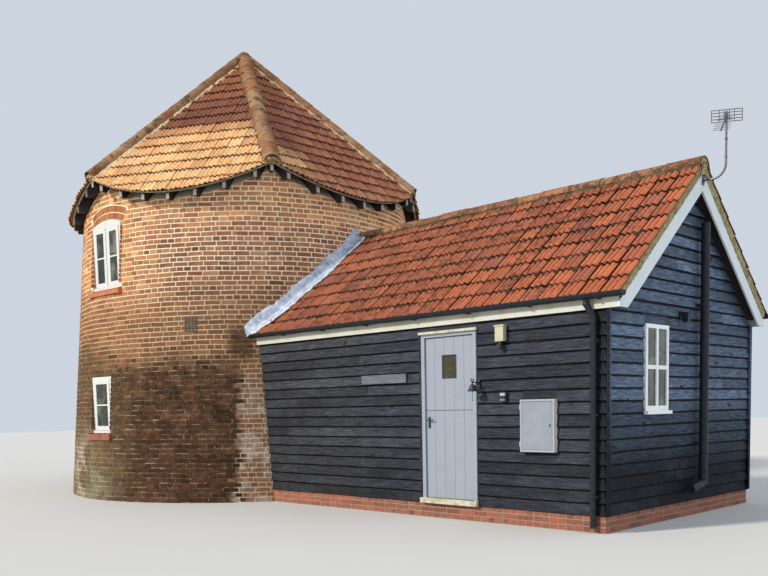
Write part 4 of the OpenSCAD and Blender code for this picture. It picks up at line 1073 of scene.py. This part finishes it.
def hex_roof(k):
    B = Build()
    to_world = hex_frame(k)
    half = EAVE_R * 0.5 + 0.02

    def smin(u):
        return np.abs(u) / (ROOF_C * tan(pi / 6))

    def eave(u, r=EAVE_R):
        return np.sqrt(np.maximum(r ** 2 - u * u, 0)) / ROOF_C

    def tint(u, s):
        # slope 0's tiles darker, and slope 5's upper part darker: painted shade over its tree-shadow band
        tone_and_painted_light = 0.76 if k == 0 else 0.70 if k == 5 and s < 2.65 else 1.0
        return RNG.random(), RNG.uniform(0.96, 1.20) * tone_and_painted_light, hex_zone(k, u, s)
    slope_tiles(B, to_world, EAVE_R / ROOF_C + 0.01, 0.290, 0.231, -half, half, smin, eave, tint,
                crests=(0.19, 0.53, 0.87), half_width=0.16, height=0.026,
                thick=0.012, lift=0.021, base=0.010, trough_shade=0.48, band=0.09)
    # boarding and battens below the tiles, and a pale fillet along the eave
    us = np.linspace(-FILLET_R * 0.5, FILLET_R * 0.5, 33)
    b = eave(us, FILLET_R)
    a = np.minimum(smin(us), b)
    rim = b + 0.016
    slope_sheet(B, to_world, us, ((a, 0.008), (b, 0.008), (b, -0.038), (a, -0.038)), 1)
    slope_sheet(B, to_world, us, ((b, -0.006), (rim, -0.006), (rim, -0.026), (b, -0.026)), 2)
    B.make(f"tower_tiles_{k + 1}", [HEX_TILE, UNDER, FILLET], slot="tower_tiles",
           replaces=[f"tower_roof_{k + 1}"])


def foot_mortar(B, centre, d, side, nrm):
    """A lumpy half disc of mortar in the open end of a hip."""
    rows = []
    for p in np.linspace(0, pi, 8):
        ring = []
        for q in np.linspace(0, tau, 14, endpoint=False):
            k = 1 + 0.16 * sin(3 * q + 5 * p + centre[0] * 9) + jitter(0.05)
            across = 0.118 * sin(p) * (cos(q) * side + 0.62 * sin(q) * nrm)
            ring.append(centre + k * (across + 0.050 * cos(p) * d))
        rows.append(ring)
    B.grid(rows, mat=3, close=True)


def hip_line(k):
    """Direction down hip k, across it, out of it, and its length."""
    a = radians(60 * k + 30)
    d = np.array([cos(a) * cos(HIP_FALL), sin(a) * cos(HIP_FALL), -sin(HIP_FALL)])
    side = np.array([-sin(a), cos(a), 0.0])
    nrm = np.cross(d, side)
    return d, side, nrm if nrm[2] > 0 else -nrm, (EAVE_R + 0.020) / cos(HIP_FALL)


def hip_tile(B, top, d, side, nrm, s0, s1):
    """One half-round tile, a little wider at its lower end."""
    turn = np.linspace(-1.62, 1.62, 19) + jitter(0.02)
    r0, r1 = HIP_R - 0.003, HIP_R + 0.006 + jitter(0.001)
    inner = r1 - 0.014
    profile = ((s0, r0), ((s0 + s1) / 2, (r0 + r1) / 2 + 0.002), (s1, r1), (s1, inner), (s1 - 0.03, inner))
    round_it = np.sin(turn)[:, None] * side + np.cos(turn)[:, None] * nrm
    rings = [top + d * s - nrm * HIP_SINK + (r + jitter(0.0012, 19))[:, None] * round_it for s, r in profile]
    t = rand3()
    B.grid(rings[:3], t)
    B.grid(rings[2:], t, smooth=False)


def hip_bed(B, k, sg, top, d, side, length):
    """Mortar along one edge of a hip, pale on the silhouette hips and dark beside the middle one, where the
    dark mortar also paints the shadow line beside the hip.
    """
    n = 70
    ss = np.linspace(0.12, length - 0.03, n)
    a = radians(60 * (k + (1 if sg > 0 else 0)))
    out = np.array([cos(a) * ROOF_S, sin(a) * ROOF_S, ROOF_C])
    across = np.cross(d, out)
    across *= copysign(1, np.dot(across, side * sg)) / np.linalg.norm(across)
    pale = k in (0, 4)
    wide = (0.050 if pale else 0.022) + 0.010 * np.sin(ss * 9 + k) + jitter(0.006, n)
    line = top - (0, 0, TILE_RISE) + d * ss[:, None]
    rows = []
    for w, h in ((0.100, 0.062), (0.126, 0.054), (0.130 + wide * 0.6, 0.046), (0.136 + wide, 0.014)):
        lift = (h + jitter(0.003, n))[:, None] * out
        rows.append(line + across * np.broadcast_to(w, n)[:, None] + lift)
    B.grid(rows, mat=1 if pale else 2, flip=sg > 0)


def hip_cap(B, top_z):
    """A low saddle of mortar where the hips meet."""
    r = HIP_R + 0.006
    z = top_z - HIP_SINK / cos(HIP_FALL)
    lat, lon = np.linspace(0, 1.5, 8)[::-1, None], np.arange(20) * tau / 20
    rows = xyz(r * np.sin(lat) * np.cos(lon), r * np.sin(lat) * np.sin(lon), z + r * np.cos(lat))
    B.grid(rows, (0.55, 0.4, 0.5), close=True)


def hip_tiles():
    B = Build()
    top = np.array([0, 0, APEX + TILE_RISE])
    for k in range(6):
        d, side, nrm, length = hip_line(k)
        rows = round(length / HIP_GAUGE)
        step = length / rows
        for i in range(rows):
            hip_tile(B, top, d, side, nrm, max(length - (i + 1) * step - 0.03, 0.0), length - i * step)
        for sg in (-1, 1):
            hip_bed(B, k, sg, top, d, side, length)
        foot_mortar(B, top + d * (length - 0.030) - nrm * 0.050, d, side, nrm)
    hip_cap(B, top[2])
    pale = mat_bed("hip_mortar_pale", (0.72, 0.60, 0.38), (0.58, 0.46, 0.28), (0.30, 0.25, 0.13), 0.5)
    # dark mortar, which also paints the shadow line beside the hips
    dark = mat_bed("hip_mortar_and_shadow", (0.085, 0.062, 0.038), (0.20, 0.15, 0.085), (0.040, 0.032, 0.016))
    foot = mat_bed("hip_foot", (0.34, 0.31, 0.13), (0.46, 0.42, 0.24), (0.10, 0.095, 0.035))
    B.make("hip_tiles", [mat_hip(), pale, dark, foot], slot="hip_tiles", replaces=["tower_hip_tiles"])


for slope in range(6):
    hex_roof(slope)
hip_tiles()

# Wing roof
WING_RUN = (HALF_W + EAVE_OUT) / WING_C
WING_GAUGE = WING_RUN / 9.0


def wing_frame(sg):
    """Places on a wing slope, -1 the front and 1 the back: s down from the ridge, u along X, h out of it."""
    def to_world(s, u, h):
        return xyz(u, MID_Y + sg * (s * WING_C + h * WING_S), TILE_BED - s * WING_S + h * WING_C)
    return to_world


def cone_limit(sg):
    """For each X, how far down the slope the tower's face is."""
    def smin(u):
        s = np.zeros_like(u)
        for _ in range(12):
            r = tower_r(TILE_BED - s * WING_S) + 0.01
            y = np.sqrt(np.maximum(r ** 2 - u * u, 0))
            s = np.maximum((y - sg * MID_Y) / WING_C, 0) * (y > 0)
        return s
    return smin


def wing_roof(sg, side):
    B = Build()
    to_world, smin = wing_frame(sg), cone_limit(sg)
    cover = 0.2665
    hi = VERGE_X - 0.002
    lo = hi - ceil((hi - 2.4) / cover) * cover

    def smax(u):
        return np.full_like(u, WING_RUN)

    def tint(u, s):
        return 0.05 + 0.90 * RNG.random(), RNG.uniform(0.75, 1.03), 0.0
    slope_tiles(B, to_world, WING_RUN, WING_GAUGE, cover, lo, hi - 1.99 * cover, smin, smax, tint,
                crests=(0.26, 0.54, 0.82), half_width=0.135, height=0.029,
                thick=0.013, lift=0.022, base=0.008, trough_shade=0.28, band=0.05,
                u_cap=VERGE_X - 0.004, joint=0.42, lap=0.30, crown=0.64)
    # boarding below the tiles, with the rafters' underside inside
    xs = np.linspace(2.45, BARGE_X - 0.024, 60)
    b = np.full(60, HALF_W / WING_C)
    a = np.minimum(smin(xs), b)
    slope_sheet(B, to_world, xs, ((a, 0.002), (b, 0.002), (b, -0.130), (a, -0.130)), 1)
    # the mortar bed on the verge, lumpy, between the bargeboard and the tiles
    ss = np.linspace(0.0, WING_RUN - 0.06, 90)
    top = 0.052 if sg > 0 else 0.030
    outline = ((-0.045, top), (-0.010, top - 0.004), (0.010, top - 0.014), (0.016, 0.000), (0.012, -0.034),
               (0.004, 0.002 - BED_H * WING_C))
    rows = [to_world(ss, BARGE_X + dx + jitter(0.003, 90), h + jitter(0.003, 90)) for dx, h in outline]
    B.grid(rows, mat=2, flip=sg < 0)
    B.make("wing_tiles_" + side, [WING_TILE, UNDER, OLIVE_BED], slot="wing_tiles",
           replaces=["wing_roof_" + side])


def cushion(B, p, r, d, out):
    """One cushion of moss, longer along X than down the slope."""
    turn = np.linspace(0, tau, 8, endpoint=False)[:, None]
    flat = 1.6 * np.cos(turn) * np.array([1, 0, 0]) + np.sin(turn) * d
    rows = []
    for q in np.linspace(0, pi / 2, 4):
        swell = 1 + jitter(0.14, (8, 1))
        rows.append(p + swell * r * (sin(q) * flat + 0.75 * cos(q) * out))
    B.grid(rows[::-1], close=True)


def moss_cushions():
    """Cushions of moss, thickest in patches, along the lower edges of the courses."""
    B = Build()
    for sg in (-1, 1):
        to_world, smin = wing_frame(sg), cone_limit(sg)
        patches = np.concatenate([RNG.uniform((3.2, 0.2), (8.8, 2.4), (22, 2)),
                                  RNG.uniform((3.6, 0.6), (6.8, 2.3), (16, 2))])
        for _ in range(900):
            patch = patches[RNG.integers(len(patches))]
            u = patch[0] + jitter(0.32)
            row = int(np.clip(round((patch[1] + jitter(0.20)) / WING_GAUGE), 1, 8))
            s = row * WING_GAUGE + RNG.uniform(0.002, 0.022)
            if not 2.6 < u < VERGE_X - 0.05 or s < smin(np.array([u]))[0] + 0.12:
                continue
            r = RNG.uniform(0.012, 0.036)
            here = to_world(s, u, 0)
            place = to_world(s, u, 0.016 + RNG.uniform(0, 0.012))
            cushion(B, place, r, to_world(s + 1, u, 0) - here, to_world(s, u, 1) - here)
    moss = mat_bed("moss", (0.040, 0.023, 0.013), (0.085, 0.055, 0.032), (0.018, 0.011, 0.008))
    B.make("moss_cushions", [moss], slot="wing_tiles")


def ridge_ring(x, r, dy=0.0, dz=0.0):
    turn = np.linspace(-1.45, 1.45, 17)
    return xyz(x, MID_Y + dy + r * np.sin(turn), RIDGE_Z + dz + r * np.cos(turn))


def ridge_end(B):
    """Mortar in the open end of the ridge over the gable."""
    turn = np.linspace(-1.5, 1.5, 19)
    face = VERGE_X - 0.008 + jitter(0.002, 19)
    s, c = np.sin(turn), np.cos(turn)
    rows = [xyz(face - 0.006, MID_Y + 0.112 * s, RIDGE_Z + 0.112 * c),
            xyz(face, MID_Y + 0.06 * s, RIDGE_Z + 0.06 * c - 0.01),
            xyz(face, MID_Y + 0.118 * s, RIDGE_Z - 0.10 - 0.03 * np.abs(s))]
    B.grid(rows, mat=2, flip=True)


def ridge_tiles():
    B = Build()
    x_start = float(cone_x(MID_Y, WAPEX)) - 0.02
    length = VERGE_X - x_start
    count = round(length / RIDGE_L)
    for i in range(count):
        x1 = VERGE_X - i * length / count
        x0 = x1 - length / count
        dz, dy, r = jitter(0.004), jitter(0.003), RIDGE_R + jitter(0.0015)
        rings = [ridge_ring(x, r, dy, dz) for x in (x0 + 0.004, (x0 + x1) / 2, x1 - 0.004)]
        t = rand3()
        B.grid(rings, t, flip=True)
        B.grid([rings[2], ridge_ring(x1 - 0.004, r - 0.015, dy, dz)], t, smooth=False, flip=True)
        if i < count - 1:
            joint = ((x0 - 0.014, RIDGE_R - 0.006), (x0, RIDGE_R + 0.004), (x0 + 0.014, RIDGE_R - 0.006))
            B.grid([ridge_ring(x, r + jitter(0.002, 17)) for x, r in joint], mat=1, flip=True)
    xs = np.linspace(x_start, VERGE_X - 0.004, 170)
    for sg in (-1, 1):
        rows = []
        for out, up in ((0.098, 0.000), (0.118, 0.026), (0.134, 0.022), (0.150, -0.016)):
            y = MID_Y + sg * (out + jitter(0.004, 170))
            rows.append(xyz(xs, y, WAPEX - out * WSLOPE + up + jitter(0.004, 170)))
        B.grid(rows, mat=1, flip=sg < 0)
    ridge_end(B)
    # dark mortar beside the ridge: its moss and the painted shade under the ridge tiles
    bed = mat_bed("ridge_mortar_and_shade", (0.060, 0.046, 0.024), (0.15, 0.090, 0.050), (0.030, 0.027, 0.012))
    B.make("ridge_tiles", [mat_ridge(), bed, OLIVE_BED], slot="ridge_tiles", replaces=["wing_ridge_tiles"])


def lead_flashing():
    """Sheet lead dressed up the tower's face and out over the tiles, creased and with ragged edges."""
    B = Build()
    n = 110
    run = np.linspace(0, 1, n)
    across = np.linspace(RIDGE_R - 0.010, HALF_W + EAVE_OUT + 0.085, n)
    z = WAPEX + 0.030 - across * WSLOPE
    for sg in (-1, 1):
        y = MID_Y + sg * across
        crease = 0.5 * np.sin(run * 61) + 0.5 * np.sin(run * 97 + 2) + jitter(0.5, n)
        ripple = 0.006 * crease
        up = 0.185 + 0.016 * crease + 0.018 * np.sin(run * 23)
        out = 0.160 + 0.016 * crease[::-1] + 0.022 * np.sin(run * 17 + 1)
        out = out * np.clip((1 - run) / 0.04, 0.35, 1)
        # on the wall: height over the fold and distance from the face
        wall = ((up, 0.002), (up - 0.004, 0.012), (0.5 * up, 0.013 + 0.5 * ripple), (0.035, 0.020))
        # on the tiles: distance from the tower's face and height over them
        tiles = ((0.045, 0.016 + 0.5 * ripple), (0.55 * out, 0.012 + ripple), (0.85 * out, 0.010 - ripple),
                 (out, 0.004 + 0.5 * ripple), (out, -0.012))
        rows = [xyz(cone_x(y, z + rise, off), y, z + rise) for rise, off in wall]
        rows += [xyz(cone_x(y, z) + reach, y, z + h) for reach, h in tiles]
        streak = np.repeat((0, 0, 0, 0.15, 0, 0, 1, 1), n - 1)
        B.grid(rows, xyz(0.5, 0.5, streak), flip=sg > 0)
    B.make("lead_flashing", [mat_lead()], slot="lead", replaces=["roof_flashing"])


wing_roof(-1, "front")
wing_roof(1, "back")
moss_cushions()
ridge_tiles()
lead_flashing()

# Boarded walls
GAUGE = 0.142
LAP = 0.023
BACKING = 0.026
BOARD_FOOT = PLINTH_H - 0.010
IN_TOP = WALL_H + WALL_T * WSLOPE
OUT_TOP = WALL_H + BACKING * WSLOPE


def along(u0, u1):
    """Points along a board, about every 220 mm, as shares of its length."""
    return np.linspace(0, 1, max(2, int((u1 - u0) / 0.22) + 1))


def board_grid(B, rows, shades):
    """A board's rows of faces: one pick of wood and, in the third number, painted shade under the laps."""
    pick, bright = RNG.random(2)
    B.grid(rows, [(pick, bright, shade) for shade in shades for _ in rows[0][1:]], smooth=False)


def board(B, b0, b1, t0, t1, zb, zt, place):
    """One feather-edged board: b0 to b1 along its lower edge and t0 to t1 along its upper one."""
    t = along(b0, b1)
    ub, ut = b0 + (b1 - b0) * t, t0 + (t1 - t0) * t
    bow = 0.0022 * np.sin(t * pi * RNG.uniform(1, 3) + RNG.uniform(0, 6)) + jitter(0.0007, len(t))
    cup = 0.0018 * np.sin(t * pi * RNG.uniform(1, 4) + RNG.uniform(0, 6)) + RNG.uniform(0, 0.002)
    lean = LAP * min(1.0, (zt - zb) / GAUGE)
    low, high = zb + bow, zt + 0.002
    # round the lower edge from the back, then up the face to where the next board laps over
    rows = [place(ub, low + 0.002, BACKING - 0.001), place(ub, low, cup + 0.0025),
            place(ub, low + 0.006, cup), place((ub + ut) / 2, (low + high) / 2, lean * 0.5 + cup * 0.5),
            place(ut, high - 0.022, lean * 0.86), place(ut, high, lean)]
    # painted shade on the lap's underside and lip, and under the next board's lap
    board_grid(B, rows, (1.0, 0.95, 0.0, 0.0, 0.92))


def strip(B, u0, u1, z0, z1, zb, place):
    """The part of a board that is left over or under an opening; zb is where the whole board would start."""
    if u1 - u0 < 0.02:
        return
    u = u0 + (u1 - u0) * along(u0, u1)
    b0, b1 = LAP * (z0 - zb) / GAUGE, LAP * (z1 - zb) / GAUGE
    # painted shade on the strip's underside
    board_grid(B, [place(u, z0 + 0.001, BACKING - 0.001), place(u, z0, b0), place(u, z1, b1)], (1.0, 0.1))


def board_rows(B, z_hi, ends, place, holes=(), breaks=((),)):
    """Boards up a wall: ends(z) gives its two ends at a height, place(u, z, back) a point on it."""
    k = 0
    zb = BOARD_FOOT
    while zb < z_hi - 0.01:
        zt = min(zb + GAUGE, z_hi)
        (low0, low1), (high0, high1) = ends(zb), ends(zt)
        cuts = [(-1e9, 1e9)]
        for h0, h1, g0, g1 in holes:
            if zt > g0 + 0.004 and zb < g1 - 0.004:
                cuts = [p for a, b in cuts for p in ((a, min(b, h0)), (max(a, h1), b)) if p[1] > p[0]]
                if zb < g0 - 0.02:
                    strip(B, max(h0, low0), min(h1, low1), zb, g0, zb, place)
                if zt > g1 + 0.02:
                    strip(B, max(h0, high0), min(h1, high1), g1, zt, zb, place)
        for a, b in cuts:
            b0, b1 = max(a, low0), min(b, low1)
            t0, t1 = max(a, high0), min(b, high1)
            if b1 - b0 < 0.02:
                continue
            joins = [q for q in breaks[k % len(breaks)] if b0 + 0.3 < q < b1 - 0.3]
            starts = [(b0, t0)] + [(q + 0.002, q + 0.002) for q in joins]
            stops = [(q - 0.002, q - 0.002) for q in joins] + [(b1, max(t1, t0))]
            for start, stop in zip(starts, stops):
                board(B, start[0], stop[0], start[1], stop[1], zb, zt, place)
        zb += GAUGE
        k += 1


def front_place(u, z, back):
    return xyz(u, FRONT_Y + back, z)


def back_place(u, z, back):
    return xyz(-u, BACK_Y - back, z)


def gable_place(u, z, back):
    return xyz(GABLE_X - back, u, z)


def wall_box(B, x0, x1, y0, y1, z0, za, zb=None, tint=PLAIN, mat=1):
    """A block of wall behind the boards, its top za at y0 and zb at y1."""
    zb = za if zb is None else zb
    corners = [(x, y, z0) for y in (y0, y1) for x in (x0, x1)]
    corners += [(x, y, z) for y, z in ((y0, za), (y1, zb)) for x in (x0, x1)]
    B.hexa(corners, tint, mat)


def scribed_wall(B, x1, y0, y1, z_in, z_out):
    """A block of wall whose other end follows the tower; its top is z_in at y0 and z_out at y1."""
    corners = []
    for y, z in ((y0, PLINTH_H), (y1, PLINTH_H), (y0, z_in), (y1, z_out)):
        corners += [(scribed_x(y, z), y, z), (x1, y, z)]
    B.hexa(corners, mat=1)


def make_wall(B, name, node):
    B.make(name, [BOARDS, INSIDE], slot="black_boards", replaces=[node])


def front_walls():
    y0, y1 = FRONT_Y + BACKING, IN_F
    B = Build()
    scribed_wall(B, DOOR_X0, y0, y1, OUT_TOP, IN_TOP)
    board_rows(B, WALL_H, lambda z: (scribed_x(FRONT_Y, z), DOOR_X0 - 0.040), front_place,
               breaks=[(4.15, 5.4), (3.5,), (5.05,), (4.5,), (3.9, 5.5), (4.9,), (3.3, 5.2), (4.3,)])
    wall_box(B, DOOR_X0 - 0.042, DOOR_X0 - 0.001, FRONT_Y - 0.004, y0, PLINTH_H, HEAD_H + 0.03,
             tint=(0.3, 0.0, 0.0), mat=0)
    make_wall(B, "boards_front_left", "front_wall_left")
    B = Build()
    m0, m1, g0, g1 = METER
    wall_box(B, DOOR_X1, m0, y0, y1, PLINTH_H, OUT_TOP, IN_TOP)
    wall_box(B, m1, GABLE_X - BACKING, y0, y1, PLINTH_H, OUT_TOP, IN_TOP)
    wall_box(B, m0, m1, y0, y1, PLINTH_H, g0)
    wall_box(B, m0, m1, y0, y1, g1, OUT_TOP, IN_TOP)
    wall_box(B, m0, m1, FRONT_Y + 0.142, y1, g0, g1)
    board_rows(B, WALL_H, lambda z: (DOOR_X1 + 0.004, GABLE_X - 0.002), front_place,
               holes=[(m0 - 0.003, m1 + 0.003, g0 - 0.003, g1 + 0.003)])
    make_wall(B, "boards_front_right", "front_wall_right")
    B = Build()
    wall_box(B, DOOR_X0, DOOR_X1, y0, y1, HEAD_H, OUT_TOP, IN_TOP)
    strip(B, DOOR_X0 - 0.04, DOOR_X1 + 0.004, HEAD_H, WALL_H, HEAD_H, front_place)
    make_wall(B, "boards_over_door", "front_wall_over_door")


def back_wall():
    B = Build()
    scribed_wall(B, GABLE_X - BACKING, IN_B, BACK_Y - BACKING, IN_TOP, OUT_TOP)
    board_rows(B, WALL_H, lambda z: (0.002 - GABLE_X, -scribed_x(BACK_Y, z)), back_place,
               breaks=[(-4.2, -6.6), (-5.4,), (-3.9, -7.1), (-6.0,), (-4.8, -7.6)])
    make_wall(B, "boards_back", "back_wall")


def gable_wall():
    B = Build()
    x0, x1 = GABLE_X - WALL_T, GABLE_X - BACKING
    w0, w1, g0, g1 = GWIN
    wall_box(B, x0, x1, w0, w1, PLINTH_H, g0)
    for a, b, foot in ((IN_F, w0, PLINTH_H), (w1, MID_Y, PLINTH_H), (MID_Y, IN_B, PLINTH_H), (w0, w1, g1)):
        wall_box(B, x0, x1, a, b, foot, wing_under(a), wing_under(b))

    def ends(z):
        inward = max(0.0, (z - WALL_H) / WSLOPE)
        return min(FRONT_Y + 0.002 + inward, MID_Y), max(BACK_Y - 0.002 - inward, MID_Y)
    board_rows(B, wing_under(MID_Y) - 0.03, ends, gable_place,
               holes=[(w0 - 0.001, w1 + 0.001, g0 - 0.001, g1 + 0.001)],
               breaks=[(0.9,), (), (-0.2,), (), (1.1,), ()])
    make_wall(B, "boards_gable", "gable_wall")


def plinth_bricks():
    """Three courses with open joints on the three free sides of the wing."""
    B = Build()
    x0, x1 = 2.4, GABLE_X - 0.020
    yf, yb = FRONT_Y + 0.020, BACK_Y - 0.020
    gap, arris, stretcher = 0.005, 0.003, 0.225
    sides = ((lambda u, z, o: (u, yf - o, z), x0, x1), (lambda u, z, o: (x1 + o, u, z), yf, yb),
             (lambda u, z, o: (-u, yb + o, z), -x1, -x0))
    for k in range(3):
        z0, z1 = k * PLINTH_H / 3 + gap, (k + 1) * PLINTH_H / 3 - gap
        pitch = stretcher if k % 2 else stretcher / 2
        for place, lo, hi in sides:
            for i in range(ceil((hi - lo) / pitch)):
                a, b = lo + i * pitch + gap, min(lo + (i + 1) * pitch - gap, hi)
                x, y = place((a + b) / 2, 0, 0)[:2]
                if b - a < 0.02 or x < cone_x(y, 0.1):
                    continue
                out = 0.003 + jitter(0.001)
                corners = ((a, z0, 1, 1), (b, z0, -1, 1), (b, z1, -1, -1), (a, z1, 1, -1))
                back = [place(u, z, -0.006) for u, z, _, _ in corners]
                face = [place(u + arris * du, z + arris * dz, out) for u, z, du, dz in corners]
                B.add(back + face, BRICK_SIDES, rand3())
    B.make("plinth_bricks", [mat_plinth()], slot="brick")


front_walls()
back_wall()
gable_wall()
plinth_bricks()

# Materials of the CAD nodes that stay
KEEP = (
    (mat_plain("floor_screed", (0.42, 0.41, 0.39), (0.50, 0.49, 0.47), 0.8, 6),
     "tower_ground_floor wing_floor"),
    (mat_wood("floor_planks", (0.40, 0.28, 0.17), (0.52, 0.39, 0.25)), "tower_upper_floor"),
    (mat_rafters(), "tower_rafters"),
    # one white paint in two copies: lighter on the gable, which gets less light, darker on the tower's
    # windows in the sun: painted light
    (mat_white("white_frame", (0.88, 0.89, 0.87)), "gable_window"),
    (mat_white("white_casement_dimmed_for_sun", (0.66, 0.67, 0.64)), "tower_upper_window tower_lower_window"),
    (mat_glass(), "tower_window_glass gable_window_glass"),
    (mat_plain("black_iron", (0.012, 0.012, 0.013), (0.028, 0.028, 0.028), 0.55, 60),
     "door_handle_plate door_lever bell_bracket bell"),
    (mat_plain("vent_iron", (0.055, 0.045, 0.036), (0.115, 0.090, 0.068), 0.70, 60, grain=0.4),
     "tower_vent_plate"),
    (mat_sill("plinth_mortar", (0.30, 0.22, 0.16), (0.22, 0.16, 0.12), (0.13, 0.085, 0.06)), "wing_plinth"),
    (mat_white("white_barge", (0.68, 0.73, 0.75), 0.20, 3.2, 4.1), "bargeboards"),
    (mat_white("white_trim", (0.60, 0.59, 0.53), 0.75), "fascias"),
    (mat_plain("black_plastic", (0.012, 0.014, 0.018), (0.024, 0.027, 0.033), 0.40, shine=0.22),
     "gutters downpipes gable_lamp soil_pipe"),
    (BOARDS, "corner_boards"),
    (mat_door_frame(), "door_frame"),
    # white paint dimmed and blued: painted tree shade
    (mat_white("white_door", (0.29, 0.325, 0.39)), "door_lower_leaf door_upper_leaf"),
    (mat_obscured(), "door_pane"),
    (mat_plain("dull_steel", (0.10, 0.095, 0.09), (0.18, 0.17, 0.16), 0.42, 60, 0.7), "door_hinges"),
    (mat_meter(), "meter_box meter_box_door"),
    (mat_light(), "security_light"),
    (mat_key_box(), "key_box"),
    (mat_wood("bare_plank", (0.080, 0.091, 0.112), (0.155, 0.172, 0.205)), "sign_plank"),
    (mat_plain("aluminium", (0.12, 0.125, 0.13), (0.22, 0.23, 0.24), 0.40, 30, 0.8),
     "aerial_mast aerial_head"),
)
for material, names in KEEP:
    for name in names.split():
        dress(name, material)
